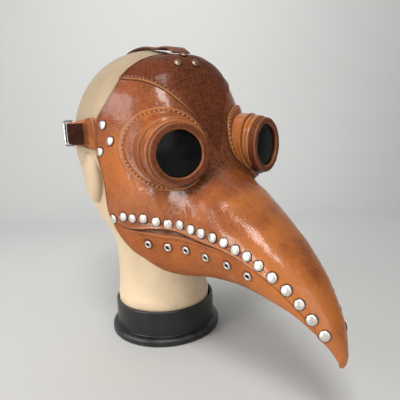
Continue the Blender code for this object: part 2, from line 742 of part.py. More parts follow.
def ribbon(name, path, z_mid, width, thick, mat):
    """Upright strap: its middle line is a plan path (x, y); the width stands in z and
    may be one number or one for each point."""
    p = np.array(path, float)
    width = np.zeros(len(p)) + np.asarray(width, float)
    t = np.gradient(p, axis=0)
    t /= np.linalg.norm(t, axis=1)[:, None]
    n = np.c_[t[:, 1], -t[:, 0]]
    verts, faces = [], []
    for q, m, w in zip(p, n, width):
        a, b = q - m * thick / 2, q + m * thick / 2
        verts += [(a[0], a[1], z_mid - w / 2), (a[0], a[1], z_mid + w / 2),
                  (b[0], b[1], z_mid + w / 2), (b[0], b[1], z_mid - w / 2)]
    m = len(p)
    for i in range(m - 1):
        for k in range(4):
            q = (k + 1) % 4
            faces.append([i * 4 + k, i * 4 + q, (i + 1) * 4 + q, (i + 1) * 4 + k])
    faces.append([3, 2, 1, 0])
    faces.append([(m - 1) * 4 + k for k in range(4)])
    return solid(name, verts, faces, mat, angle=40)


def arc(cx, cy, r, a0, a1, n):
    return [(cx + r * math.cos(math.radians(a0 + (a1 - a0) * k / n)),
             cy + r * math.sin(math.radians(a0 + (a1 - a0) * k / n))) for k in range(n + 1)]


# the buckle's two upright bars, in plan: the front one carries the short strap
BAR_R = 0.13
FRONT_BAR = (-8.20, 1.15)
REAR_BAR = (-8.45, 3.15)
BUCKLE_H = 2.3
LOOP_R = BAR_R + GAP + 0.09 + STRAP_T / 2

# short strap on the wearer's right: out from under the temple, round the bar and back inside
tab = [(-7.50, -1.71), (-7.63, -1.25), (-7.98, -0.5), (-8.30, 0.2),
       (FRONT_BAR[0] - LOOP_R, FRONT_BAR[1] - 0.35)]
tab += arc(FRONT_BAR[0], FRONT_BAR[1], LOOP_R, 180, 0, 8)
tab += [(FRONT_BAR[0] + LOOP_R - 0.02, FRONT_BAR[1] - 0.5), (FRONT_BAR[0] + LOOP_R - 0.02, FRONT_BAR[1] - 1.0)]
tab_w = [STRAP_W - (STRAP_W - STRAP_W_BAR) * min(k / 4, 1.0) for k in range(len(tab))]
ribbon("side_strap_right", tab, STRAP_Z, tab_w, STRAP_T, mat_strap)

# long strap from the left temple, round the back of the head, through the buckle
long_path = []
for k in range(22):
    w = math.radians(100 + (253 - 100) * k / 21)
    q, nn, up = head_frame(STRAP_Z, w, 0.10 + STRAP_T / 2 + 0.02)
    long_path.append((q[0], q[1]))
start = [(7.50, -1.71), (7.61, -1.25), (7.79, -0.5), (7.84, 0.1)]
w_end = FRONT_BAR[0] - LOOP_R - STRAP_T / 2 - GAP - STRAP_T / 2 - 0.03
tail = [(-7.86, 3.9), (-7.98, 3.2), (-8.12, 2.5), (-8.42, 1.9), (w_end + 0.04, 1.35), (w_end, 0.9),
        (w_end + 0.02, 0.3), (w_end + 0.20, -0.4), (w_end + 0.42, -1.05)]
ribbon("side_strap_left", start + long_path + tail, STRAP_Z, STRAP_W_BAR - 0.05, 0.18, mat_dark)

# buckle: a rounded rectangle of wire
def rod(name, points, radius, mat, ref, closed=False, sides=8):
    n = len(points)
    verts, faces = [], []
    P = [np.array(p, float) for p in points]
    for i in range(n):
        a = P[(i - 1) % n] if (closed or i > 0) else P[i]
        b = P[(i + 1) % n] if (closed or i < n - 1) else P[i]
        t = b - a
        t /= np.linalg.norm(t)
        u = np.cross(t, ref)
        u /= np.linalg.norm(u)
        v = np.cross(u, t)
        verts += [P[i] + radius * (u * math.cos(2 * math.pi * (k + .5) / sides)
                                   + v * math.sin(2 * math.pi * (k + .5) / sides)) for k in range(sides)]
    m = n if closed else n - 1
    for i in range(m):
        j = (i + 1) % n
        for k in range(sides):
            q = (k + 1) % sides
            faces.append([i * sides + k, i * sides + q, j * sides + q, j * sides + k])
    if not closed:
        faces.append(list(range(sides))[::-1])
        faces.append([(n - 1) * sides + k for k in range(sides)])
    return solid(name, verts, faces, mat)


_f, _r = np.array([*FRONT_BAR, 0.0]), np.array([*REAR_BAR, 0.0])
_mid, _half = (_f + _r) / 2, np.linalg.norm(_r - _f) / 2
_along = (_r - _f) / (2 * _half)
_upv = np.array([0, 0, 1.0])
_ref = np.cross(_along, _upv)
_c = 0.26
_hh = BUCKLE_H / 2
frame_pts = []
for sx, sy, a0 in ((1, 1, 0), (-1, 1, 90), (-1, -1, 180), (1, -1, 270)):
    for k in range(4):
        a = math.radians(a0 + 30 * k)
        frame_pts.append(_mid + _upv * STRAP_Z + _along * (sx * (_half - _c) + _c * math.cos(a))
                         + _upv * (sy * (_hh - _c) + _c * math.sin(a)))
rod("buckle_frame", frame_pts, BAR_R, mat_metal, _ref, closed=True)

# crown strap: from the crown rivets back over the head, down to the long strap
CROWN_W, CROWN_T = 2.1, 0.20
P, A, N = [], [], []


def crown_point(ang, lift):
    """Point over the head in the plane of symmetry; ang runs from the face over the top."""
    ct, st = math.cos(SKULL_TILT), math.sin(SKULL_TILT)
    # direction from the skull's centre
    d = np.array([-math.cos(ang), math.sin(ang)])
    a = (d[0] * ct + d[1] * st) / SKULL[1]
    b = (-d[0] * st + d[1] * ct) / SKULL[2]
    r = 1 / math.sqrt(a * a + b * b)
    y, z = SKULL_C[0] + d[0] * r, SKULL_C[1] + d[1] * r
    g = np.array([ct * a / SKULL[1] - st * b / SKULL[2], st * a / SKULL[1] + ct * b / SKULL[2]])
    g /= np.linalg.norm(g)
    return np.array([0, y + g[0] * lift, z + g[1] * lift]), np.array([0, g[0], g[1]])


A0, A1 = math.radians(CROWN_FROM), math.radians(CROWN_TO)
for k in range(19):
    f = k / 18
    ang = A0 + (A1 - A0) * f
    lift = CROWN_LIFT_FRONT + (CROWN_LIFT_REST - CROWN_LIFT_FRONT) * min(1.0, max(0.0, (f - 0.06) / 0.11)) if f < 0.5 else \
        CROWN_LIFT_REST + (0.50 - CROWN_LIFT_REST) * min(1.0, max(0.0, (f - 0.80) / 0.12))
    p, n = crown_point(ang, lift)
    P.append(p)
    A.append(np.array([1.0, 0, 0]))
    N.append(n)
band("crown_strap", P, A, N, CROWN_W, CROWN_T, mat_dark)


# ================================================================ rivets and eyelets
def dome(name, p, n, r, h, mat, seg=12):
    """Domed rivet head standing on the leather at p, its axis along n."""
    n = np.array(n) / np.linalg.norm(n)
    u = np.cross(n, (0, 0, 1.0) if abs(n[2]) < 0.9 else (1.0, 0, 0))
    u /= np.linalg.norm(u)
    v = np.cross(n, u)
    prof = [(r * 0.96, 0.0), (r, h * 0.22), (r * 0.90, h * 0.62), (r * 0.55, h * 0.94)]
    verts, faces = [], []
    for rr, hh in prof:
        verts += [np.array(p) + n * hh + rr * (u * math.cos(2 * math.pi * k / seg) + v * math.sin(2 * math.pi * k / seg))
                  for k in range(seg)]
    verts.append(np.array(p) + n * h)
    for a in range(len(prof) - 1):
        for k in range(seg):
            m = (k + 1) % seg
            faces.append([a * seg + k, a * seg + m, (a + 1) * seg + m, (a + 1) * seg + k])
    t = len(prof) * seg
    for k in range(seg):
        faces.append([(len(prof) - 1) * seg + k, (len(prof) - 1) * seg + (k + 1) % seg, t])
    faces.append(list(range(seg))[::-1])
    return solid(name, verts, faces, mat)


mat_rivet = material("rivet_nickel", NICKEL, 0.3, 1.0)
TEMPLE_RIVETS = ((0.16, 66.0), (0.52, 71.0), (0.20, 77.5))
CROWN_RIVETS = ((0.78, 4.0), (1.13, 14.0), (1.25, 0.0))
for k, (t, deg) in enumerate(TEMPLE_RIVETS):
    for side, tag in ((1, "right"), (-1, "left")):
        ph = np.array([math.radians(deg) * side])
        tt = np.array([t])
        dome("temple_rivet_%s_%d" % (tag, k + 1), offset(tt, ph, np.array([RIVET_LIFT]))[0],
             FLIP * form_normal(tt, ph)[0], RIVET_R, RIVET_H, mat_rivet)
for k, (t, deg) in enumerate(CROWN_RIVETS):
    ph, tt = np.array([math.radians(deg)]), np.array([t])
    dome("crown_rivet_%d" % (k + 1), offset(tt, ph, np.array([FOREHEAD_RAISE + RIVET_LIFT]))[0],
         FLIP * form_normal(tt, ph)[0], RIVET_R * 0.92, RIVET_H, mat_rivet)

# vents: a hole through the jaw panel with a metal eyelet standing on it
VENTS = ((1.50, 113.5), (2.27, 113.5), (3.14, 112.5), (4.00, 110.5), (4.90, 109.5), (5.85, 109.0))
ESEG = 12
vent_verts, vent_faces = [], []
for k, (t, deg) in enumerate(VENTS):
    for side, tag in ((1, "right"), (-1, "left")):
        ph, tt = np.array([math.radians(deg) * side]), np.array([t])
        n = FLIP * form_normal(tt, ph)[0]
        p = offset(tt, ph, np.array([-JAW_DROP]))[0]
        u = np.cross(n, (0, 0, 1.0))
        u /= np.linalg.norm(u)
        v = np.cross(n, u)

        def ring(r, h):
            return [p + n * h + r * (u * math.cos(2 * math.pi * m / ESEG) + v * math.sin(2 * math.pi * m / ESEG))
                    for m in range(ESEG)]
        rings = [ring(EYELET_HOLE, EYELET_LIFT), ring(EYELET_R, EYELET_LIFT), ring(EYELET_R * 0.94, EYELET_LIFT + 0.06),
                 ring(EYELET_R * 0.68, EYELET_LIFT + 0.10), ring(EYELET_HOLE, EYELET_LIFT + 0.05)]
        verts = np.vstack(rings)
        faces = []
        for a in range(5):
            b = (a + 1) % 5
            for m in range(ESEG):
                q = (m + 1) % ESEG
                faces.append([a * ESEG + m, a * ESEG + q, b * ESEG + q, b * ESEG + m])
        solid("vent_eyelet_%s_%d" % (tag, k + 1), verts, faces, mat_rivet)
        base = len(vent_verts)
        vent_verts += ring(EYELET_HOLE + 0.02, 0.3) + ring(EYELET_HOLE + 0.02, -0.6)
        vent_faces.append([base + m for m in range(ESEG)])
        vent_faces.append([base + ESEG + m for m in range(ESEG)][::-1])
        for m in range(ESEG):
            q = (m + 1) % ESEG
            vent_faces.append([base + m, base + q, base + ESEG + q, base + ESEG + m][::-1])
boolean(jaw_panel, cutter("vent_cutter", vent_verts, vent_faces), 'DIFFERENCE')
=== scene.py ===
# Looks of the leather beak mask on its display head. Geometry below is worked in
# centimetres in the CAD frame and made into meshes in metres.
import math

import bmesh
import bpy
import numpy as np
from mathutils import Matrix, Vector


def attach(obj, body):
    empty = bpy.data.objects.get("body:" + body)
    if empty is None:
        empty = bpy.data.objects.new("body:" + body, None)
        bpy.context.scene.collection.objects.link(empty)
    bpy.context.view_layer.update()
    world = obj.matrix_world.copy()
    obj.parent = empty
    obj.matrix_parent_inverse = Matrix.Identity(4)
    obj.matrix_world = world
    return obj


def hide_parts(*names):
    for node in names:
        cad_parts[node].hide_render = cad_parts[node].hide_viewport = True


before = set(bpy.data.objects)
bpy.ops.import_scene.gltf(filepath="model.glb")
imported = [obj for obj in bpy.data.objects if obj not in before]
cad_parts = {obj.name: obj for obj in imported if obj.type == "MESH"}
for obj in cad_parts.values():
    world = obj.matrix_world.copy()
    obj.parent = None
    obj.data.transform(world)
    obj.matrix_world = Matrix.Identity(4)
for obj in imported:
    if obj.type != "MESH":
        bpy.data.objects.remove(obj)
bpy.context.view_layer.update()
CM = 0.01
GAP = 0.03


# ================================================================ camera
def make_camera():
    right = Vector((0.79369876, -0.60726712, -0.03562204))
    down = Vector((-0.15027113, -0.13898697, -0.97882644))
    ahead = Vector((0.58945812, 0.78224629, -0.20156851))
    m = Matrix([list(right) + [0], list(-down) + [0], list(-ahead) + [0], [0, 0, 0, 1]]).transposed()
    data = bpy.data.cameras.new("camera")
    data.sensor_width = 36.0
    data.lens = 36.0 * 427.16441324 / 400.0
    data.clip_start = 0.01
    data.clip_end = 60.0
    cam = bpy.data.objects.new("camera", data)
    bpy.context.scene.collection.objects.link(cam)
    cam.matrix_world = Matrix.Translation(Vector((-0.2356630347, -0.3839429314, 0.2297938957))) @ m
    bpy.context.scene.camera = cam
    return cam


make_camera()

# ================================================================ mask form (cm)
SECTIONS = np.array([
    [-4.3, 28.2,  -1.4, 23.2,   -0.2, 11.2,   -8.7, 8.5,   7.95, 0.80, 0.95],
    [-6.6, 27.6,  -5.5, 21.9,   -3.2, 9.6,    -9.5, 8.4,   7.05, 1.00, 0.95],
    [-8.1, 25.0,  -8.1, 21.3,   -6.9, 9.5,   -10.7, 8.6,   5.80, 1.00, 1.00],
    [-9.4, 22.0,  -8.7, 19.4,   -9.4, 10.0,  -12.3, 8.8,   4.75, 1.00, 1.00],
    [-10.5, 18.7, -11.4, 16.5, -12.2, 10.5,  -14.2, 8.8,   4.10, 1.05, 1.00],
    [-13.2, 16.9, -14.2, 14.8, -14.8, 11.0,  -16.1, 8.6,   3.65, 1.05, 1.00],
    [-16.1, 15.0, -16.5, 13.3, -16.6, 10.8,  -17.6, 8.3,   3.10, 1.00, 1.00],
    [-19.0, 12.8, -18.9, 11.5, -18.9, 10.0,  -19.5, 7.8,   2.50, 1.00, 1.00],
    [-21.0, 10.7, -20.7, 9.7,  -20.6, 8.6,   -20.9, 7.2,   1.85, 1.00, 1.00],
    [-22.4, 8.5,  -22.2, 7.9,  -22.0, 7.3,   -22.1, 6.5,   1.15, 1.00, 1.00],
    [-23.15, 6.35, -23.0, 6.1, -22.8, 5.85, -22.65, 5.6,  0.48, 1.00, 1.00]])
BEAK_TIP = (0.0, -22.98, 5.36)
LEATHER, FOREHEAD_RAISE, JAW_DROP = 0.25, 0.12, 0.10
SEAM_TIP, JAW_END = 3.75, 8.6
BROW = ((0.0, 41.0), (1.0, 38.5), (2.0, 30.5), (3.0, 14.0), (SEAM_TIP, 1.5))
JAW = ((0.0, 109.0), (1.0, 106.5), (2.0, 103.5), (3.0, 101.0), (4.0, 97.0),
       (5.0, 94.5), (6.0, 93.0), (7.0, 93.0), (8.0, 94.0), (9.0, 97.0), (10.0, 102.0))
GOGGLE_FACE, GOGGLE_AZ = (-4.83, -11.2, 19.86), 17.0
RIM_R, RIM_LEN, RIM_OPEN = 2.48, 0.62, 1.88
TUBE_R_BASE, TUBE_R_TOP, TUBE_WALL = 2.92, 2.62, 0.30
DISC_R, DISC_SHIFT, DISC_T, DISC_LIFT = 3.4, (0.35, 0.25), 0.15, 0.09
EYE_HOLE_R = 2.15
LENS_R, LENS_T, LENS_SET = 2.02, 0.22, 0.30
SKULL_C, SKULL, SKULL_TILT = (0.61, 20.36), (7.65, 9.6, 8.8), 0.245
NECK_R, BASE_R, BASE_FLANGE_R = 4.95, 5.30, 5.87
BASE_FLANGE_H, BASE_H, NECK_FOOT_Z = 0.80, 3.52, 1.20
STRAP_W, STRAP_W_BAR, STRAP_T, STRAP_Z = 2.95, 2.15, 0.20, 21.4


def spline(table, t):
    p = np.asarray(table, float)
    n = len(p)
    t = np.clip(np.asarray(t, float), -0.3, n - 1)
    i = np.clip(np.floor(t).astype(int), 0, n - 2)
    f = (t - i)[..., None]
    e = np.vstack([2 * p[:1] - p[1:2], p, 2 * p[-1:] - p[-2:-1]])
    a, b, c, d = e[i], e[i + 1], e[i + 2], e[i + 3]
    return .5 * ((2 * b) + (c - a) * f + (2 * a - 5 * b + 4 * c - d) * f ** 2
                 + (3 * b - a - 3 * c + d) * f ** 3)


def through(pairs, x):
    xs = np.array([p[0] for p in pairs], float)
    ys = np.array([p[1] for p in pairs], float)
    x = np.clip(np.asarray(x, float), xs[0], xs[-1])
    h = np.diff(xs)
    s = np.diff(ys) / h
    m = np.empty(len(xs))
    m[0], m[-1] = s[0], s[-1]
    for k in range(1, len(xs) - 1):
        m[k] = 0 if s[k - 1] * s[k] <= 0 else (
            (h[k - 1] + h[k]) * 3 / ((2 * h[k] + h[k - 1]) / s[k - 1] + (h[k] + 2 * h[k - 1]) / s[k]))
    i = np.clip(np.searchsorted(xs, x) - 1, 0, len(xs) - 2)
    u = (x - xs[i]) / h[i]
    return ((2 * u ** 3 - 3 * u ** 2 + 1) * ys[i] + (u ** 3 - 2 * u ** 2 + u) * h[i] * m[i]
            + (-2 * u ** 3 + 3 * u ** 2) * ys[i + 1] + (u ** 3 - u ** 2) * h[i] * m[i + 1])


def form(t, phi):
    """Outer surface of the mask: section t, angle phi from the ridge, positive to -X."""
    t, phi = np.broadcast_arrays(np.asarray(t, float), np.asarray(phi, float))
    q = spline(SECTIONS, t.ravel()).reshape(t.shape + (SECTIONS.shape[1],))
    u = (1 - np.cos(phi)) / 2
    v = 1 - u
    b = [v ** 3, 3 * v * v * u, 3 * v * u * u, u ** 3]
    y = sum(b[k] * q[..., 2 * k] for k in range(4))
    z = sum(b[k] * q[..., 2 * k + 1] for k in range(4))
    s = np.sin(phi)
    x = -q[..., 8] * np.sign(s) * np.abs(s) ** (q[..., 9] * v + q[..., 10] * u)
    return np.stack([x, y, z], -1)


def form_normal(t, phi):
    e = 2e-3
    t = np.asarray(t, float)
    phi = np.asarray(phi, float)
    ph = np.where(np.abs(phi) < 0.02, 0.02 * np.where(phi < 0, -1, 1), phi)
    ph = np.where(np.abs(np.abs(ph) - np.pi) < 0.02, np.sign(ph) * (np.pi - 0.02), ph)
    dt = form(t + e, ph) - form(t - e, ph)
    dp = form(t, ph + e) - form(t, ph - e)
    n = np.cross(dp, dt)
    n = n / np.maximum(np.linalg.norm(n, axis=-1, keepdims=True), 1e-12)
    centre = np.abs(phi) < 0.02
    n[..., 0] = np.where(centre | (np.abs(np.abs(phi) - np.pi) < 0.02), 0.0, n[..., 0])
    n = n / np.maximum(np.linalg.norm(n, axis=-1, keepdims=True), 1e-12)
    return n


_probe = form(np.array([5.0]), np.array([0.8]))[0] - np.array([0, -16.0, 12.5])
FLIP = 1.0 if np.dot(_probe, form_normal(np.array([5.0]), np.array([0.8]))[0]) > 0 else -1.0


def offset(t, phi, d):
    return form(t, phi) + FLIP * form_normal(t, phi) * np.asarray(d)[..., None]


def brow(t):
    return np.radians(through(BROW, t))


def jaw(t):
    return np.radians(through(JAW, t))


EDGE = ((40.0, 0.0), (44.0, 0.03), (48.0, 0.035), (52.0, 0.02), (56.0, -0.01), (60.0, -0.065), (64.0, -0.13),
        (68.0, -0.14), (72.0, -0.10), (76.0, -0.05), (80.0, 0.045), (84.0, 0.165), (88.0, 0.255), (92.0, 0.285),
        (96.0, 0.27), (100.0, 0.235), (104.0, 0.19), (108.0, 0.15), (112.0, 0.12), (118.0, 0.07), (128.0, 0.0))


def cut_edge(t, phi):
    a = np.abs(np.degrees(phi))
    a = np.minimum(a, 360.0 - a)
    return t + through(EDGE, a) * (1 - np.minimum(t, 1.0)) ** 2


def per_angle(t, phi):
    """Length on the form for one radian of phi."""
    e = 1e-3
    return np.linalg.norm(form(t, phi + e) - form(t, phi - e), axis=-1) / (2 * e)


def seam_step(t, phi, gap):
    return gap / np.maximum(per_angle(t, phi), 0.3)


def smooth(x, a, b):
    """0 below a, 1 above b, smooth between."""
    f = np.clip((np.asarray(x, float) - a) / (b - a), 0, 1)
    return f * f * (3 - 2 * f)


def bump(x, centre, width):
    return np.exp(-((np.asarray(x, float) - centre) / width) ** 2)


def lumps(P, size, seed, n=9):
    """Smooth unevenness of about -1 to 1, with features of the given size in cm."""
    r = np.random.RandomState(seed)
    v = np.zeros(P.shape[:-1])
    for _ in range(n):
        d = r.normal(size=3)
        d /= np.linalg.norm(d)
        v += np.sin(P @ d * (2 * np.pi / (size * r.uniform(.7, 1.6))) + r.uniform(0, 2 * np.pi))
    return v / math.sqrt(n)


# ================================================================ mesh helpers
def link(name, me, mats):
    ob = bpy.data.objects.new(name, me)
    bpy.context.scene.collection.objects.link(ob)
    for m in mats if isinstance(mats, (list, tuple)) else [mats]:
        me.materials.append(m)
    return ob


def paint(me, **layers):
    """Per-vertex values that the materials read, by name."""
    for name, v in layers.items():
        a = me.attributes.get(name) or me.attributes.new(name, 'FLOAT', 'POINT')
        a.data.foreach_set("value", np.asarray(v, np.float32).ravel())


def mesh_from(name, verts, faces, mats, angle=None):
    clean = []
    for f in faces:
        g = []
        for i in f:
            if i not in g:
                g.append(i)
        if len(g) > 2:
            clean.append(g)
    me = bpy.data.meshes.new(name)
    me.from_pydata([tuple(v) for v in (np.asarray(verts) * CM).tolist()], [], clean)
    me.validate(clean_customdata=False)
    me.update()
    ob = link(name, me, mats)
    me.shade_smooth()
    if angle:
        me.set_sharp_from_angle(angle=math.radians(angle))
    return ob


def grid_faces(rows, cols, base=0, wrap_cols=False, wrap_rows=False):
    """Quads of a grid of points, rows by cols."""
    out = []
    for i in range(rows if wrap_rows else rows - 1):
        a = (i + 1) % rows
        for j in range(cols if wrap_cols else cols - 1):
            b = (j + 1) % cols
            out.append([base + i * cols + j, base + i * cols + b, base + a * cols + b, base + a * cols + j])
    return out


def skin(name, parts, mats, values=(), angle=50):
    """One closed wall. parts: (outer, inner, keep, flip, {value: grid}); grids share
    rows and columns, and touching points are welded."""
    qo, qi, vals = [], [], {k: [] for k in values}
    for out, inn, keep, flip, val in parts:
        def quads(g):
            q = np.stack([g[:-1, :-1], g[:-1, 1:], g[1:, 1:], g[1:, :-1]], 2)[keep]
            return q[:, ::-1] if flip else q
        qo.append(quads(out))
        qi.append(quads(inn))
        for k in values:
            vals[k].append(quads(val[k][..., None])[..., 0])
    qo, qi = np.concatenate(qo), np.concatenate(qi)
    n = len(qo)

    def weld(q):
        key = np.round(q.reshape(-1, 3) * 2000).astype(np.int64)
        _, first, inv = np.unique(key, axis=0, return_index=True, return_inverse=True)
        return q.reshape(-1, 3)[first], inv.reshape(n, 4), first
    vo, fo, first_o = weld(qo)
    vi, fi, first_i = weld(qi)
    N = len(vo)
    a, b = fo.ravel(), np.roll(fo, -1, axis=1).ravel()
    c, d = fi.ravel(), np.roll(fi, -1, axis=1).ravel()
    code, back = a * N + b, b * N + a
    border = (a != b) & ~np.isin(code, back)
    sides = np.stack([b[border], a[border], c[border] + N, d[border] + N], 1)
    faces = fo.tolist() + (fi[:, ::-1] + N).tolist() + sides.tolist()
    ob = mesh_from(name, np.vstack([vo, vi]), faces, mats, angle)
    if len(ob.data.vertices) == len(vo) + len(vi):
        lay = {}
        for k in values:
            v = np.concatenate(vals[k]).reshape(-1)
            lay[k] = np.concatenate([v[first_o], v[first_i]])
        lay["inside"] = np.concatenate([np.zeros(len(vo)), np.ones(len(vi))])
        paint(ob.data, **lay)
    return ob


def revolve(name, centre, axis, out, up, rings, mats, angle=40, closed=True):
    """rings: list of (radius array, depth array) over the angles, depth against the axis."""
    n = len(rings[0][0])
    ang = np.arange(n) * 2 * np.pi / n
    verts = []
    for r, d in rings:
        verts.append(centre + np.outer(r * np.cos(ang), out) + np.outer(r * np.sin(ang), up)
                     - np.outer(np.asarray(d) * np.ones(n), axis))
    verts = np.vstack(verts)
    return mesh_from(name, verts, grid_faces(len(rings), n, 0, True, closed), mats, angle), verts


def fix_normals(ob):
    bm = bmesh.new()
    bm.from_mesh(ob.data)
    bmesh.ops.recalc_face_normals(bm, faces=bm.faces)
    if bm.calc_volume(signed=True) < 0:
        bmesh.ops.reverse_faces(bm, faces=bm.faces)
    bm.to_mesh(ob.data)
    bm.free()
    return ob


# ================================================================ materials
class Nodes:
    def __init__(self, name, **bsdf):
        self.m = bpy.data.materials.new(name)
        self.m.use_nodes = True
        self.t = self.m.node_tree
        self.p = self.t.nodes["Principled BSDF"]
        for k, v in bsdf.items():
            self.p.inputs[k.replace("_", " ")].default_value = v
        self.co = self.t.nodes.new("ShaderNodeTexCoord").outputs["Object"]

    def to(self, src, dst):
        self.t.links.new(src, dst)

    def noise(self, scale, detail=3.0, rough=0.55, distortion=0.0, co=None):
        n = self.t.nodes.new("ShaderNodeTexNoise")
        n.inputs["Scale"].default_value = scale
        n.inputs["Detail"].default_value = detail
        n.inputs["Roughness"].default_value = rough
        n.inputs["Distortion"].default_value = distortion
        self.to(co or self.co, n.inputs["Vector"])
        return n.outputs["Fac"]

    def cells(self, scale, feature='F1', out="Distance", co=None, randomness=1.0):
        n = self.t.nodes.new("ShaderNodeTexVoronoi")
        n.feature = feature
        n.inputs["Scale"].default_value = scale
        n.inputs["Randomness"].default_value = randomness
        self.to(co or self.co, n.inputs["Vector"])
        return n.outputs[out]

    def value(self, name):
        n = self.t.nodes.new("ShaderNodeAttribute")
        n.attribute_name = name
        return n.outputs["Fac"]

    def math(self, op, a, b=None, clamp=False):
        n = self.t.nodes.new("ShaderNodeMath")
        n.operation = op
        n.use_clamp = clamp
        for i, x in enumerate((a, b)):
            if x is None:
                continue
            if isinstance(x, (int, float)):
                n.inputs[i].default_value = x
            else:
                self.to(x, n.inputs[i])
        return n.outputs[0]

    def span(self, v, a, b, lo, hi, soft=False):
        n = self.t.nodes.new("ShaderNodeMapRange")
        n.interpolation_type = 'SMOOTHSTEP' if soft else 'LINEAR'
        for k, x in (("From Min", a), ("From Max", b), ("To Min", lo), ("To Max", hi)):
            n.inputs[k].default_value = x
        self.to(v, n.inputs["Value"])
        return n.outputs["Result"]

    def mix(self, fac, a, b, mode='MIX'):
        n = self.t.nodes.new("ShaderNodeMix")
        n.data_type = 'RGBA'
        n.blend_type = mode
        for k, x in ((0, fac), (6, a), (7, b)):
            if isinstance(x, (int, float)):
                n.inputs[k].default_value = x
            elif isinstance(x, (tuple, list)):
                n.inputs[k].default_value = (*x, 1.0)
            else:
                self.to(x, n.inputs[k])
        return n.outputs[2]

    def bump(self, height, distance, strength=1.0, under=None):
        n = self.t.nodes.new("ShaderNodeBump")
        n.inputs["Strength"].default_value = strength
        n.inputs["Distance"].default_value = distance
        self.to(height, n.inputs["Height"])
        if under is not None:
            self.to(under, n.inputs["Normal"])
        return n.outputs["Normal"]

    def done(self, colour=None, rough=None, normal=None, coat_normal=None, metallic=None):
        if colour is not None:
            self.to(colour, self.p.inputs["Base Color"])
        if rough is not None:
            self.to(rough, self.p.inputs["Roughness"])
        if normal is not None:
            self.to(normal, self.p.inputs["Normal"])
        if coat_normal is not None:
            self.to(coat_normal, self.p.inputs["Coat Normal"])
        if metallic is not None:
            self.to(metallic, self.p.inputs["Metallic"])
        return self.m


def leather(name, bright, mid, dark, edge, rough=(0.40, 0.58), coat=0.35, grain=1.0, dusk=0.0, shine=0.22):
    """Moulded, airbrushed leather: 'tone' darkens it, as airbrush and in places as painted shade, 'edge' shows the raw,
    lighter fibre of worn edges, partly a painted highlight on raised crests, 'line' is a dark burnished line, in
    recesses painted shade, 'inside' the unfinished flesh side."""
    k = Nodes(name)
    k.p.inputs["Coat Weight"].default_value = coat
    k.p.inputs["Coat Roughness"].default_value = 0.17
    k.p.inputs["Coat IOR"].default_value = 1.45
    k.p.inputs["Specular IOR Level"].default_value = shine
    cloud = k.noise(26.0, 4.0, 0.55, 0.4)
    blotch = k.noise(85.0, 5.0, 0.62, 0.2)
    fine = k.noise(420.0, 4.0, 0.6)
    tone = k.math('ADD', k.value("tone"), k.span(cloud, 0.3, 0.7, -0.14 + dusk, 0.14 + dusk))
    tone = k.math('ADD', tone, k.span(blotch, 0.3, 0.7, -0.09, 0.09), clamp=True)
    col = k.mix(k.span(tone, 0.0, 0.5, 0.0, 1.0, True), bright, mid)
    col = k.mix(k.span(tone, 0.5, 1.0, 0.0, 1.0, True), col, dark)
    # pores and fibre: small darker pits, more where the skin is stretched
    pore = k.cells(900.0)
    pits = k.math('MULTIPLY', k.span(pore, 0.02, 0.22, 1.0, 0.0, True), k.span(blotch, 0.50, 0.66, 0.0, 1.0, True))
    col = k.mix(k.math('MULTIPLY', pits, 0.45), col, dark)
    col = k.mix(k.span(fine, 0.35, 0.70, 0.0, 0.22), col, edge)
    worn = k.math('MULTIPLY', k.value("edge"), k.span(blotch, 0.30, 0.60, 0.55, 1.0), clamp=True)
    col = k.mix(worn, col, edge)
    line = k.math('MULTIPLY', k.value("line"), k.span(fine, 0.3, 0.7, 0.75, 1.0), clamp=True)
    col = k.mix(line, col, tuple(c * 0.22 for c in dark))
    col = k.mix(k.math('MULTIPLY', k.value("inside"), 0.75), col, tuple(c * 0.8 for c in edge))
    r = k.span(blotch, 0.3, 0.7, rough[0], rough[1])
    r = k.math('ADD', r, k.math('MULTIPLY', pits, 0.18), clamp=True)
    r = k.math('ADD', r, k.math('MULTIPLY', k.value("inside"), 0.4), clamp=True)
    # grain: creased cells, pits, and the soft unevenness of hand moulding
    crease = k.span(k.cells(330.0, 'DISTANCE_TO_EDGE'), 0.0, 0.16, 0.0, 1.0, True)
    creased = k.math('MULTIPLY', crease, k.span(cloud, 0.35, 0.65, 0.3, 1.0))
    n = k.bump(k.noise(60.0, 3.0, 0.5, 0.3), 0.0010, 0.35)
    gloss = k.bump(k.math('SUBTRACT', creased, pits), 0.00010 * grain, 0.35, n)
    n = k.bump(creased, 0.00016 * grain, 0.55, n)
    n2 = k.bump(k.math('SUBTRACT', fine, pits), 0.00020 * grain, 0.65, n)
    return k.done(col, r, n2, gloss)


BRIGHT = (0.43, 0.124, 0.026)
MID = (0.230, 0.051, 0.013)
DARK = (0.080, 0.017, 0.007)
FIBRE = (0.55, 0.24, 0.08)

mat_tan = leather("leather_tan", BRIGHT, MID, DARK, FIBRE, coat=0.80, shine=0.12)
mat_jaw = leather("leather_jaw", (0.52, 0.160, 0.034), (0.31, 0.078, 0.018), DARK, FIBRE, coat=0.18, shine=0.12)
mat_disc = leather("leather_disc", BRIGHT, MID, DARK, FIBRE, coat=0.35, shine=0.12)
mat_fore = leather("leather_forehead", (0.205, 0.042, 0.011), (0.130, 0.026, 0.008), (0.075, 0.015, 0.006),
                   (0.42, 0.17, 0.07), coat=0.24, shine=0.08)
mat_rim = leather("leather_rim", (0.15, 0.032, 0.009), (0.10, 0.020, 0.007), (0.050, 0.011, 0.005),
                  (0.42, 0.17, 0.07), rough=(0.40, 0.55), coat=0.14, shine=0.12)
mat_strap = leather("leather_strap_tan", (0.38, 0.115, 0.032), (0.24, 0.062, 0.020), (0.08, 0.02, 0.009), FIBRE,
                    rough=(0.42, 0.62), coat=0.15, grain=1.5)
mat_dark = leather("leather_strap_dark", (0.040, 0.013, 0.008), (0.022, 0.007, 0.005), (0.008, 0.003, 0.002),
                   (0.07, 0.028, 0.016), rough=(0.50, 0.70), coat=0.0, grain=1.5, shine=0.03)
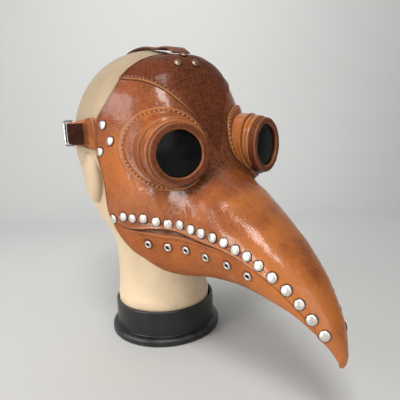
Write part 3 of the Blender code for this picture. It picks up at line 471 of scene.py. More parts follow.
mat_crown = leather("leather_strap_crown", (0.24, 0.068, 0.026), (0.14, 0.036, 0.015), (0.045, 0.012, 0.007),
                    (0.36, 0.15, 0.07), rough=(0.38, 0.58), coat=0.20, grain=1.5)


def thread(name, colour, shade):
    k = Nodes(name)
    wave = k.noise(1500.0, 2.0, 0.5)
    col = k.mix(k.span(wave, 0.35, 0.65, 0.0, 1.0), colour, shade)
    col = k.mix(k.span(k.noise(60.0, 2.0), 0.4, 0.7, 0.0, 0.5), col, shade)
    return k.done(col, k.span(wave, 0.3, 0.7, 0.55, 0.8), k.bump(wave, 0.0002, 0.8))


mat_thread = thread("thread_tan", (0.66, 0.35, 0.16), (0.40, 0.17, 0.07))
mat_thread_dark = thread("thread_brown", (0.42, 0.18, 0.075), (0.22, 0.08, 0.035))
mat_hole_shade = thread("needle_hole_shade", (0.070, 0.022, 0.010), (0.035, 0.012, 0.006))


def metal(name, colour, tarnish, rough=(0.14, 0.34), spread=0.5):
    k = Nodes(name)
    k.p.inputs["Metallic"].default_value = 1.0
    spots = k.noise(240.0, 5.0, 0.65, 0.3)
    fine = k.noise(1300.0, 3.0, 0.6)
    # tarnish spots, plus the painted value: painted shadow round rivet skirts and in eyelet throats
    grime = k.math('ADD', k.math('MULTIPLY', k.span(spots, 0.45, 0.75, 0.0, 1.0, True), spread), k.value("grime"), clamp=True)
    col = k.mix(grime, colour, tarnish)
    r = k.math('ADD', k.span(fine, 0.3, 0.7, *rough), k.math('MULTIPLY', grime, 0.3), clamp=True)
    n = k.bump(spots, 0.0004, 0.35)
    return k.done(col, r, k.bump(fine, 0.00008, 0.5, n))


mat_nickel = metal("nickel_rivet", (0.80, 0.74, 0.68), (0.045, 0.028, 0.020), (0.30, 0.48), 0.25)
mat_buckle = metal("nickel_buckle", (0.80, 0.79, 0.77), (0.12, 0.09, 0.07), (0.12, 0.30), 0.25)
mat_crown_metal = metal("aged_rivet", (0.42, 0.30, 0.22), (0.10, 0.045, 0.028), (0.30, 0.5), 0.9)


def lens_glass(name):
    k = Nodes(name)
    k.p.inputs["Specular IOR Level"].default_value = 0.12
    haze = k.noise(70.0, 4.0, 0.6, 0.5)
    dust = k.cells(1400.0)
    specks = k.math('MULTIPLY', k.span(dust, 0.02, 0.10, 1.0, 0.0), k.span(haze, 0.55, 0.75, 0.0, 0.5))
    col = k.mix(k.span(haze, 0.35, 0.65, 0.0, 1.0), (0.0030, 0.0030, 0.0032), (0.0060, 0.0060, 0.0066))
    col = k.mix(specks, col, (0.04, 0.04, 0.04))
    return k.done(col, k.span(haze, 0.3, 0.7, 0.10, 0.20), k.bump(haze, 0.0004, 0.25))


mat_lens = lens_glass("lens_smoked")


def cream(name):
    k = Nodes(name)
    k.p.inputs["Specular IOR Level"].default_value = 0.35
    k.p.inputs["Sheen Weight"].default_value = 0.06
    big = k.noise(9.0, 3.0, 0.5)
    mid = k.noise(60.0, 4.0, 0.6)
    fine = k.noise(650.0, 3.0, 0.6)
    col = k.mix(k.span(big, 0.35, 0.65, 0.0, 1.0), (0.82, 0.64, 0.43), (0.76, 0.58, 0.38))
    col = k.mix(k.span(mid, 0.45, 0.75, 0.0, 0.30), col, (0.56, 0.40, 0.25))
    scuffs = k.math('MULTIPLY', k.span(k.cells(95.0, 'DISTANCE_TO_EDGE'), 0.0, 0.03, 1.0, 0.0),
                    k.span(k.noise(35.0, 2.0), 0.58, 0.70, 0.0, 0.30))
    col = k.mix(scuffs, col, (0.44, 0.32, 0.20))
    # painted shade: the cream darkens towards the crown, standing in for the light falling off there
    height = k.t.nodes.new("ShaderNodeSeparateXYZ")
    k.to(k.co, height.inputs[0])
    crown_shade = k.math('ADD', k.span(height.outputs["Z"], 0.09, 0.275, 0.0, 1.0, True), k.span(big, 0.35, 0.65, -0.06, 0.06), clamp=True)
    col = k.mix(crown_shade, col, k.mix(k.span(mid, 0.3, 0.7, 0.0, 1.0), (0.41, 0.31, 0.205), (0.37, 0.275, 0.175)))
    n = k.bump(mid, 0.0010, 0.25)
    return k.done(col, k.span(mid, 0.3, 0.7, 0.42, 0.60), k.bump(fine, 0.00012, 0.45, n))


mat_cream = cream("head_cream_satin")


def black_plastic(name):
    k = Nodes(name)
    k.p.inputs["Specular IOR Level"].default_value = 0.40
    mid = k.noise(75.0, 5.0, 0.6)
    fine = k.noise(900.0, 3.0, 0.6)
    col = k.mix(k.span(mid, 0.35, 0.7, 0.0, 1.0), (0.010, 0.010, 0.011), (0.018, 0.018, 0.020))
    dust = k.math('MULTIPLY', k.span(fine, 0.62, 0.75, 0.0, 1.0), k.span(mid, 0.4, 0.7, 0.1, 0.5))
    col = k.mix(dust, col, (0.09, 0.088, 0.085))
    col = k.mix(k.math('MULTIPLY', k.value("edge"), k.span(mid, 0.35, 0.6, 0.2, 1.0), clamp=True), col, (0.07, 0.07, 0.07))
    n = k.bump(mid, 0.0005, 0.2)
    return k.done(col, k.span(mid, 0.3, 0.7, 0.30, 0.48), k.bump(fine, 0.0001, 0.5, n))


mat_black = black_plastic("base_black_satin")


# ================================================================ goggle geometry
def goggle_frame(side):
    a = math.radians(GOGGLE_AZ)
    axis = np.array([side * math.sin(a), -math.cos(a), 0.0])
    out = np.array([side * math.cos(a), math.sin(a), 0.0])
    up = np.array([0.0, 0.0, 1.0])
    c = np.array([abs(GOGGLE_FACE[0]) * side, GOGGLE_FACE[1], GOGGLE_FACE[2]])
    return c, axis, out, up


_T0, _P0 = np.meshgrid(np.linspace(0.1, 5.0, 80), np.radians(np.linspace(3, 110, 80)), indexing='ij')
_GRID = form(_T0, _P0).reshape(-1, 3)


def hits(c, axis, out, up, U, V):
    """(t, phi) of the points where lines along the axis at (U, V) meet the form; right side."""
    U, V = np.asarray(U, float).ravel(), np.asarray(V, float).ravel()
    d = _GRID - c
    gu, gv, gd = d @ out, d @ up, d @ axis
    r = (gu[None] - U[:, None]) ** 2 + (gv[None] - V[:, None]) ** 2 + np.where(gd < -8, 1e6, 0)[None]
    i = r.argmin(1)
    t, p = _T0.ravel()[i].copy(), _P0.ravel()[i].copy()
    e = 1e-4
    for _ in range(40):
        def f(tt, pp):
            q = form(tt, pp) - c
            return q @ out - U, q @ up - V
        a0, b0 = f(t, p)
        a1, b1 = f(t + e, p)
        a2, b2 = f(t, p + e)
        j11, j12, j21, j22 = (a1 - a0) / e, (a2 - a0) / e, (b1 - b0) / e, (b2 - b0) / e
        det = j11 * j22 - j12 * j21
        det = np.where(np.abs(det) < 1e-6, 1e-6, det)
        dt = -(a0 * j22 - b0 * j12) / det
        dp = -(b0 * j11 - a0 * j21) / det
        k = np.minimum(1.0, 0.3 / np.maximum(np.maximum(np.abs(dt), np.abs(dp)), 1e-9))
        t, p = t + dt * k, p + dp * k
        if max(np.abs(a0).max(), np.abs(b0).max()) < 1e-7:
            break
    return t, p


C_R, AX_R, OUT_R, UP_R = goggle_frame(-1)


def seat(U, V):
    """Points and outward normals of the form under (U, V) of the right goggle."""
    shape = np.shape(U)
    t, p = hits(C_R, AX_R, OUT_R, UP_R, U, V)
    return (form(t, p).reshape(shape + (3,)), (FLIP * form_normal(t, p)).reshape(shape + (3,)))


def mirrored(name, ob, mats):
    """The same piece on the wearer's left."""
    me = ob.data.copy()
    me.name = name
    n = len(me.vertices)
    co = np.empty(n * 3)
    me.vertices.foreach_get("co", co)
    co[0::3] *= -1
    me.vertices.foreach_set("co", co)
    me.flip_normals()
    new = bpy.data.objects.new(name, me)
    bpy.context.scene.collection.objects.link(new)
    return new


PIECES = []


def place(ob, slot, *nodes):
    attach(ob, "root")
    if nodes:
        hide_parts(*nodes)
    PIECES.append(ob)
    return ob


# ================================================================ tone of the leather
def goggle_uv(P):
    """Radius and angle round the nearer goggle's axis for points P."""
    Q = P.copy()
    Q[..., 0] = -np.abs(Q[..., 0])
    d = Q - C_R
    u, v = d @ OUT_R, d @ UP_R
    return np.hypot(u, v), np.arctan2(v, u), d @ AX_R


def airbrush_and_painted_light(P, T, PH):
    """Darker tone: airbrushed red-brown on the crown and over the bridge; painted shade round the goggles' inner sides
    and under them; darker brow and cheek sides, partly airbrush and partly painted shade; darker towards the underside,
    lighter on the mid cheek; lighter along the beak and at its tip as painted light.
    """
    r, a, _ = goggle_uv(P)
    flat = np.hypot((P[..., 0] + 0.1) / 2.1, 1e-9)
    bridge = np.exp(-flat ** 4) * smooth(P[..., 2], 16.2, 19.0) * (1 - 0.55 * smooth(P[..., 2], 20.5, 24.0))
    # painted shade round the goggle's inner side, towards the bridge
    socket_shade = bump(r, 2.95, 0.75) * smooth(np.cos(a - math.radians(200)), -0.35, 0.7)
    # painted shadow under each goggle
    under = bump(r, 3.0, 0.45) * smooth(-np.sin(a), 0.1, 0.9) * 0.55
    crown = smooth(P[..., 2], 22.5, 26.0) * (1 - smooth(np.abs(P[..., 0]), 3.0, 6.0))
    ridge = bump(PH, 0, 0.45) * smooth(T, 5.0, 8.0) * 0.16
    # darker cheek sides and brow sides: partly airbrush, partly painted shade
    cheek_side = smooth(np.abs(PH), 0.7, 1.1) * (1 - smooth(T, 4.2, 6.0))
    brow_side = smooth(P[..., 2], 20.8, 24.0) * (1 - smooth(T, 2.5, 4.0))
    tone = 0.26 + 0.62 * bridge + 0.55 * socket_shade + under + 0.20 * crown + ridge + 0.10 * cheek_side + 0.36 * brow_side
    tone += 0.12 * smooth(np.abs(PH), 2.0, 2.7)
    tone -= 0.16 * bump(T, 1.0, 1.0) * bump(np.abs(PH), 1.3, 0.35)
    # painted light: lighter along the beak and again at its tip, in place of the light the beak catches
    tone -= 0.22 * smooth(T, 5.0, 6.4) + 0.14 * smooth(T, 8.3, 9.8)
    tone += 0.07 * lumps(P, 4.0, 5) + 0.04 * lumps(P, 1.7, 6)
    return np.clip(tone, 0, 1)


def seam_distance(t, phi, seam):
    """Distance in cm on the form from the seam angle, positive away from the ridge."""
    return (np.abs(phi) - seam) * per_angle(t, np.abs(phi))


def brow_gap(t):
    """The brow seam closes as it runs down between the goggles."""
    return 0.008 + (GAP - 0.008) * (1 - smooth(t, 1.9, 2.9))


def unevenness(P):
    return 0.020 * lumps(P, 3.4, 11) + 0.010 * lumps(P, 1.5, 12) + 0.004 * lumps(P, 0.7, 13)


# ================================================================ cheek and beak panel
TIP_ROWS = 9


def build_cheek_beak():
    rows_t = np.concatenate([[0, .010, .024, .045, .075], np.linspace(.075, SEAM_TIP, 78)[1:],
                             np.linspace(SEAM_TIP, JAW_END, 92)[1:],
                             JAW_END + (10 - JAW_END) * np.linspace(0, 1, 27)[1:], 10 + 1e-4 * np.arange(1, TIP_ROWS + 1)])
    n_side, n_low = 74, 18
    close = np.array([0, .03, .07, .13])
    # arc lengths along each section set the column angles
    fine = np.linspace(0, 1, 181)
    rows = len(rows_t)
    T = np.repeat(rows_t[:, None], n_side + n_low + 1, 1)
    PH = np.zeros_like(T)
    ends, starts = np.zeros(rows), np.zeros(rows)
    for i, t in enumerate(rows_t):
        fold = float(brow(np.array([min(t, SEAM_TIP)]))[0])
        start = fold + float(seam_step(np.array([t]), np.array([fold]), brow_gap(t))[0]) if t < SEAM_TIP - 1e-6 else 0.0
        end = float(jaw(np.array([t]))[0])
        if t <= JAW_END + 1e-6:
            end -= float(seam_step(np.array([t]), np.array([end]), GAP)[0])
        starts[i], ends[i] = start, end
        ph = start + (end - start) * fine
        pts = form(np.full(181, t), ph)
        s = np.concatenate([[0], np.cumsum(np.linalg.norm(np.diff(pts, axis=0), axis=1))])
        L = s[-1]
        c = close * min(1.0, L / 1.2)
        k = n_side + 1 - 8
        mid = c[-1] + (L - 2 * c[-1]) * (np.arange(1, k + 1) / (k + 1))
        want = np.concatenate([c, mid, (L - c)[::-1]])
        PH[i, :n_side + 1] = np.interp(want, s, ph)
        low = end + (np.pi - end) * np.linspace(0, 1, n_low + 1)[1:]
        PH[i, n_side + 1:] = low
    T0 = T
    T = cut_edge(T, PH)
    P0 = form(T, PH)
    d = unevenness(P0)
    to_brow = seam_distance(T, PH, np.repeat(starts[:, None], T.shape[1], 1))
    to_jaw = -seam_distance(T, PH, np.repeat(ends[:, None], T.shape[1], 1))
    front = SEAM_TIP - T
    # rounded cut edges
    def rounded(s, r=0.10):
        s = np.clip(s, 0, r)
        return -(r - np.sqrt(np.maximum(r * r - (r - s) ** 2, 0)))
    has_brow = T < SEAM_TIP - 1e-6
    d = d * smooth(np.where(has_brow, to_brow, 1.0), 0.0, 0.4) * smooth(np.where(T < 8.4, to_jaw, 1.0), 0.0, 0.4)
    d += np.where(T < JAW_END, rounded(to_jaw), 0)
    # rolled lip over the jaw seam, and the soft crease that runs above it
    lip = smooth(T, 0.7, 1.5) * (1 - smooth(T, 5.4, 7.2))
    d += lip * (0.11 * bump(to_jaw, 0.20, 0.17) - 0.05 * bump(to_jaw, 0.52, 0.16))
    d += (1 - smooth(T, 7.5, 8.6)) * 0.030 * bump(to_jaw, 0.16, 0.14)
    # raised line where the jaw seam is burnished away towards the tip
    below = np.abs(PH) - jaw(np.minimum(T, 10.0))
    d += np.where(T > JAW_END - 1e-6, 0.022 * bump(below * per_angle(T, np.maximum(np.abs(PH), .05)), 0, 0.09), 0)
    # mask edge: thinner, with a shallow burnished groove
    edge_cm = T0 * 3.3
    d += np.where(T0 < 0.10, rounded(edge_cm, 0.12), 0)
    d -= 0.022 * bump(edge_cm, 0.30, 0.07)
    # a soft outward bulge on the cheek
    d += 0.05 * bump(T, 2.6, .5) * bump(np.abs(PH), 1.45, .22)
    out = P0 + FLIP * form_normal(T, PH) * d[..., None]
    Ti = np.where(T > 8.6, 8.6 + (T - 8.6) * 0.62, T)
    half = spline(SECTIONS, Ti.ravel()).reshape(T.shape + (-1,))[..., 8]
    inn = offset(Ti, PH, -np.minimum(LEATHER, 0.42 * half))
    last = T.shape[0] - 1 - TIP_ROWS
    mid = np.array([0.0, P0[last, :, 1].mean(), P0[last, :, 2].mean()])
    reach = np.array(BEAK_TIP) - mid
    for k in range(1, TIP_ROWS + 1):
        a = math.pi / 2 * k / TIP_ROWS
        out[last + k] = mid + (out[last] - mid) * math.cos(a) + reach * math.sin(a)
        d[last + k] = 0
    end = spline(SECTIONS, 8.6 + 1.4 * 0.62)
    inn[-1] = (0.0, (end[0] + end[6]) / 2, (end[1] + end[7]) / 2)
    ridge = rows_t >= SEAM_TIP - 1e-6
    out[ridge, 0, 0] = 0.0
    inn[ridge, 0, 0] = 0.0
    out[:, -1, 0] = 0.0
    inn[:, -1, 0] = 0.0
    keep = np.ones((rows - 1, n_side + n_low), bool)
    keep[np.ix_(rows_t[:-1] < JAW_END - 1e-6, np.arange(n_side + n_low) >= n_side)] = False
    # eye hole
    r, a, depth = goggle_uv(P0)
    inside = (depth < 0) & (depth > -7) & (T < 4.2)
    rc = (r[:-1, :-1] + r[1:, 1:] + r[:-1, 1:] + r[1:, :-1]) / 4
    hole = (rc < EYE_HOLE_R + 0.02) & inside[:-1, :-1]
    keep &= ~hole
    corner = np.zeros_like(r, bool)
    for di in (0, 1):
        for dj in (0, 1):
            corner[di:rows - 1 + di, dj:r.shape[1] - 1 + dj] |= hole
    stay = np.zeros_like(r, bool)
    for di in (0, 1):
        for dj in (0, 1):
            stay[di:rows - 1 + di, dj:r.shape[1] - 1 + dj] |= keep
    rim = corner & stay & inside
    shift = (EYE_HOLE_R + 0.03 - r)[..., None] * (np.cos(a)[..., None] * OUT_R + np.sin(a)[..., None] * UP_R)
    out = np.where(rim[..., None], out + shift, out)
    inn = np.where(rim[..., None], inn + shift, inn)
    tone = airbrush_and_painted_light(P0, T, PH)
    # painted shade in the crease above the lip
    tone += 0.30 * lip * bump(to_jaw, 0.55, 0.20)
    fade = 1 - smooth(T, 2.0, 3.0)
    # lighter raw fibre on the lip's crest and the brow seam's edge, partly a painted highlight where these raised edges
    # catch the light
    worn = 0.55 * lip * bump(to_jaw, 0.15, 0.12) + 0.30 * fade * np.where(has_brow, bump(to_brow, 0.02, 0.05), 0)
    line = 0.75 * bump(edge_cm, 0.30, 0.10) + 0.9 * np.where(T < JAW_END, bump(to_jaw, -0.02, 0.035), 0)
    line += 0.8 * fade * np.where(has_brow, bump(to_brow, 0.0, 0.045), 0)
    val = {"tone": np.clip(tone, 0, 1), "edge": worn, "line": np.clip(line, 0, 1)}
    parts = [(out, inn, keep, False, val)]
    M = np.array([-1.0, 1, 1])
    parts.append((out * M, inn * M, keep, True, val))
    ob = skin("cheek_beak_leather", parts, mat_tan, ("tone", "edge", "line"))
    fix_normals(ob)
    return place(ob, "tan_leather", "cheek_beak_panel")


cheek = build_cheek_beak()

# ================================================================ jaw panel
VENTS = ((1.50, 113.5), (2.27, 113.5), (3.14, 112.5), (4.00, 110.5), (4.90, 109.5), (5.85, 109.0))
LIP = ((0.5, 107.9), (1.03, 107.2), (1.40, 106.6), (1.75, 106.6), (2.15, 106.4), (3.13, 104.2), (3.58, 101.6),
       (4.03, 98.6), (4.6, 95.8))


def build_jaw():
    rows_t = np.concatenate([[0, .012, .03, .055, .09], np.linspace(.09, JAW_END - .06, 150)[1:]])
    cols = 120
    rows = len(rows_t)
    T = np.repeat(rows_t[:, None], cols + 1, 1)
    PH = np.zeros_like(T)
    fine = np.linspace(0, 1, 241)
    close = np.array([0, .03, .07, .12, .18, .25, .32, .39, .46, .53, .60])
    starts = np.zeros(rows)
    for i, t in enumerate(rows_t):
        a = float(jaw(np.array([t]))[0])
        a += float(seam_step(np.array([t]), np.array([a]), GAP)[0])
        starts[i] = a
        ph = a + (2 * np.pi - 2 * a) * fine
        pts = form(np.full(241, t), np.where(ph > np.pi, ph - 2 * np.pi, ph))
        s = np.concatenate([[0], np.cumsum(np.linalg.norm(np.diff(pts, axis=0), axis=1))])
        L = s[-1]
        c = close * min(1.0, L / 2.2)
        k = cols + 1 - 2 * len(c)
        mid = c[-1] + (L - 2 * c[-1]) * (np.arange(1, k + 1) / (k + 1))
        PH[i] = np.interp(np.concatenate([c, mid, (L - c)[::-1]]), s, ph)
    PW = np.where(PH > np.pi, PH - 2 * np.pi, PH)
    T0 = T
    T = cut_edge(T, PW)
    P0 = form(T, PW)
    down = seam_distance(T, PW, np.repeat(starts[:, None], cols + 1, 1))
    ridge_cm = (np.radians(through(LIP, T)) - jaw(T)) * per_angle(T, jaw(T))
    ridge_cm = np.maximum(ridge_cm, 0.16)
    open_ = smooth(T, 0.6, 1.4) * (1 - smooth(T, 4.2, 5.0))
    d = -JAW_DROP + unevenness(P0) * smooth(down, 0.1, 0.8)
    d -= open_ * 0.10 * bump(down, 0.03, np.maximum(ridge_cm * 0.55, 0.08))
    d += open_ * (0.105 * bump(down, ridge_cm, 0.11) - 0.035 * bump(down, ridge_cm + 0.30, 0.14))
    d += (1 - open_) * 0.03 * bump(down, 0.14, 0.10)
    d += np.where(T0 < 0.10, -(0.12 - np.sqrt(np.maximum(0.12 ** 2 - (0.12 - np.clip(T0 * 3.3, 0, .12)) ** 2, 0))), 0)
    tone = airbrush_and_painted_light(P0, T, PW) + 0.10
    keep = np.ones((rows - 1, cols), bool)
    out = P0 + FLIP * form_normal(T, PW) * d[..., None]
    inn = offset(T, PW, np.full(T.shape, -JAW_DROP - LEATHER))
    # lighter crest of the jaw ridge: worn fibre, partly a painted highlight
    worn = 0.50 * open_ * bump(down, ridge_cm, 0.09)
    # painted shade in the recess between the seam and the jaw ridge, plus a dark line at the seam
    line = 0.85 * open_ * bump(down, ridge_cm * 0.35, ridge_cm * 0.45) + 0.8 * bump(down, 0.0, 0.05)
    line += 0.6 * bump(T0 * 3.3, 0.30, 0.10)
    for t, deg in VENTS:
        for side in (1, -1):
            p, n = form(t, math.radians(deg) * side), FLIP * form_normal(np.array([t]), np.array([math.radians(deg) * side]))[0]
            u = np.cross(n, (0, 0, 1.0))
            u /= np.linalg.norm(u)
            v = np.cross(n, u)
            q = P0 - p
            a, b = q @ u, q @ v
            r = np.hypot(a, b)
            near = np.abs(q @ n) < 1.0
            rc = (r[:-1, :-1] + r[1:, 1:] + r[:-1, 1:] + r[1:, :-1]) / 4
            hole = (rc < 0.20) & near[:-1, :-1]
            keep &= ~hole
            # painted shade: a darker ring and a dark edge line just outside each eyelet
            tone = tone + 0.30 * bump(r, 0.38, 0.12) * near
            line = line + 0.55 * bump(r, 0.40, 0.06) * near
            corner, stay = np.zeros_like(r, bool), np.zeros_like(r, bool)
            for di in (0, 1):
                for dj in (0, 1):
                    corner[di:rows - 1 + di, dj:cols + dj] |= hole
                    stay[di:rows - 1 + di, dj:cols + dj] |= keep
            rim = corner & stay
            sh = (0.21 - r) / np.maximum(r, 1e-6)
            shift = (sh * a)[..., None] * u + (sh * b)[..., None] * v
            out = np.where(rim[..., None], out + shift, out)
            inn = np.where(rim[..., None], inn + shift, inn)
    val = {"tone": np.clip(tone, 0, 1), "edge": worn, "line": np.clip(line, 0, 1)}
    ob = skin("jaw_leather", [(out, inn, keep, False, val)], mat_jaw, ("tone", "edge", "line"))
    fix_normals(ob)
    return place(ob, "tan_leather", "jaw_panel")


jaw_ob = build_jaw()


# ================================================================ forehead panel
def build_forehead():
    rows_t = np.concatenate([[0, .010, .024, .045, .075], np.linspace(.075, SEAM_TIP - .012, 122)[1:]])
    cols = 132
    rows = len(rows_t)
    T = np.repeat(rows_t[:, None], cols + 1, 1)
    PH = np.zeros_like(T)
    fine = np.linspace(0, 1, 241)
    close = np.array([0, .03, .06, .10, .15, .20, .25, .30, .35, .40])
    for i, t in enumerate(rows_t):
        lim = float(brow(np.array([t]))[0])
        gap = float(brow_gap(t)) + .02 * float(1 - smooth(t, 1.9, 2.9))
        lim = max(lim - float(seam_step(np.array([t]), np.array([lim]), gap)[0]), 0.004)
        ph = lim * (1 - 2 * fine)
        pts = form(np.full(241, t), ph)
        s = np.concatenate([[0], np.cumsum(np.linalg.norm(np.diff(pts, axis=0), axis=1))])
        L = s[-1]
        c = close * min(1.0, L / 1.8)
        k = cols + 1 - 2 * len(c)
        mid = c[-1] + (L - 2 * c[-1]) * (np.arange(1, k + 1) / (k + 1))
        PH[i] = np.interp(np.concatenate([c, mid, (L - c)[::-1]]), s, ph)
        S = np.concatenate([c, mid, (L - c)[::-1]])
        if i == 0:
            SD = np.zeros_like(T)
        SD[i] = np.minimum(S, L - S)
    P0 = form(T, PH)
    # the panel stands proud at the brow and sinks flush where it narrows between the goggles
    proud = 1 - smooth(T, 2.0, 3.0)
    d = FOREHEAD_RAISE * (0.05 + 0.95 * proud) + unevenness(P0) * smooth(SD, 0.1, 0.7)
    d += -(0.11 - np.sqrt(np.maximum(0.11 ** 2 - (0.11 - np.clip(SD, 0, .11)) ** 2, 0))) * (0.08 + 0.92 * proud)
    d += (0.035 * bump(SD, 0.10, 0.07) - 0.040 * bump(SD, 0.27, 0.06) + 0.012 * bump(SD, 0.42, 0.08)) * proud
    edge_cm = T * 2.6
    d += np.where(T < 0.10, -(0.12 - np.sqrt(np.maximum(0.12 ** 2 - (0.12 - np.clip(edge_cm, 0, .12)) ** 2, 0))), 0)
    d -= 0.022 * bump(edge_cm, 0.30, 0.07)
    # the skin puckers a little down the middle of the brow
    d += 0.030 * bump(PH, 0.10, 0.05) * smooth(T, 2.0, 3.0) - 0.030 * bump(PH, 0.0, 0.05) * smooth(T, 2.0, 3.0)
    out = P0 + FLIP * form_normal(T, PH) * d[..., None]
    inn = offset(T, PH, np.full(T.shape, FOREHEAD_RAISE - LEATHER))
    tone = airbrush_and_painted_light(P0, T, PH) + 0.10 * lumps(P0, 3.5, 21)
    # lighter raw edge of the panel, partly a painted highlight where the raised border catches the light
    worn = (0.95 * bump(SD, 0.05, 0.08)) * proud + 0.25 * bump(edge_cm, 0.06, 0.08)
    line = 0.40 * bump(SD, 0.27, 0.05) * proud + 0.6 * bump(edge_cm, 0.30, 0.10)
    val = {"tone": np.clip(tone, 0, 1), "edge": np.clip(worn, 0, 1), "line": np.clip(line, 0, 1)}
    keep = np.ones((rows - 1, cols), bool)
    ob = skin("forehead_leather", [(out, inn, keep, False, val)], mat_fore, ("tone", "edge", "line"))
    fix_normals(ob)
    return place(ob, "forehead_leather", "forehead_panel")


forehead = build_forehead()


# ================================================================ stitches
def capsule(P, D, N, length, r, seg=8):
    """A stitch at P along D lying on a surface of normal N."""
    D = D / np.linalg.norm(D)
    N = N / np.linalg.norm(N)
    S = np.cross(D, N)
    rows = ((-1.0, 0.10), (-0.85, 0.62), (-0.45, 0.95), (0.0, 1.0), (0.45, 0.95), (0.85, 0.62), (1.0, 0.10))
    verts = []
    for x, k in rows:
        sink = -0.55 * (abs(x) ** 3) * r * 2
        for m in range(seg):
            a = 2 * math.pi * m / seg
            verts.append(P + D * (x * length / 2) + (S * math.cos(a) + N * math.sin(a)) * r * k + N * sink)
    faces = grid_faces(len(rows), seg, 0, True)
    faces.append(list(range(seg))[::-1])
    faces.append([(len(rows) - 1) * seg + m for m in range(seg)])
    return verts, faces


def pit(P, N, r):
    """A needle hole: a small dark, flat bead set in the surface, painted shade for the hole."""
    N = N / np.linalg.norm(N)
    u = np.cross(N, (0.3, 0.2, 0.93))
    u /= np.linalg.norm(u)
    v = np.cross(N, u)
    verts = []
    for k, h in ((1.0, 0.0), (0.75, 0.35), (0.0, 0.45)):
        if k == 0:
            verts.append(P + N * r * h)
        else:
            verts += [P + N * r * h * 0.6 + (u * math.cos(2 * math.pi * m / 8) + v * math.sin(2 * math.pi * m / 8)) * r * k
                      for m in range(8)]
    verts.append(P - N * r * 0.4)
    faces = grid_faces(2, 8, 0, True) + [[8 + m, 8 + (m + 1) % 8, 16] for m in range(8)]
    faces += [[(m + 1) % 8, m, 17] for m in range(8)]
    return verts, faces


def stitch_row(name, points, normals, pitch, length, r, mat, slot_name, skip=()):
    """Stitches along a line of points."""
    P, N = np.asarray(points, float), np.asarray(normals, float)
    s = np.concatenate([[0], np.cumsum(np.linalg.norm(np.diff(P, axis=0), axis=1))])
    n = int(s[-1] / pitch)
    verts, faces, hv, hf = [], [], [], []
    rnd = np.random.RandomState(len(name) * 7 + n)
    for k in range(n):
        c = (k + 0.5) * s[-1] / n
        at = np.array([np.interp(c, s, P[:, i]) for i in range(3)])
        a = np.array([np.interp(c - .05, s, P[:, i]) for i in range(3)])
        b = np.array([np.interp(c + .05, s, P[:, i]) for i in range(3)])
        nn = np.array([np.interp(c, s, N[:, i]) for i in range(3)])
        D = (b - a) / np.linalg.norm(b - a)
        nn /= np.linalg.norm(nn)
        side = np.cross(D, nn)
        D = D + side * rnd.uniform(-.12, .12)
        at = at + side * rnd.uniform(-.012, .012)
        v, f = capsule(at + nn * r * 0.35, D, nn, length * rnd.uniform(.88, 1.08), r * rnd.uniform(.9, 1.1))
        faces += [[i + len(verts) for i in q] for q in f]
        verts += v
        v, f = pit(at + D / np.linalg.norm(D) * pitch * .5 + nn * 0.012, nn, r * 0.85)
        hf += [[i + len(hv) for i in q] for q in f]
        hv += v
    ob = mesh_from(name, verts, faces, mat)
    ho = mesh_from(name + "_hole_shade", hv, hf, mat_hole_shade)
    place(fix_normals(ob), slot_name)
    place(fix_normals(ho), slot_name)
    return ob


def brow_line(side, d, lift, t0, t1, n=160):
    t = np.linspace(t0, t1, n)
    a = brow(t)
    a = np.maximum(a - seam_step(t, a, GAP + .02 + d), 0.02)
    ph = a * side
    return offset(t, ph, np.full(n, lift)), FLIP * form_normal(t, ph)


for side, tag in ((1, "right"), (-1, "left")):
    P, N = brow_line(side, 0.27, FOREHEAD_RAISE - 0.035, 0.10, 2.15)
    stitch_row("brow_stitches_" + tag, P, N, 0.39, 0.26, 0.058, mat_thread_dark, "forehead_leather")


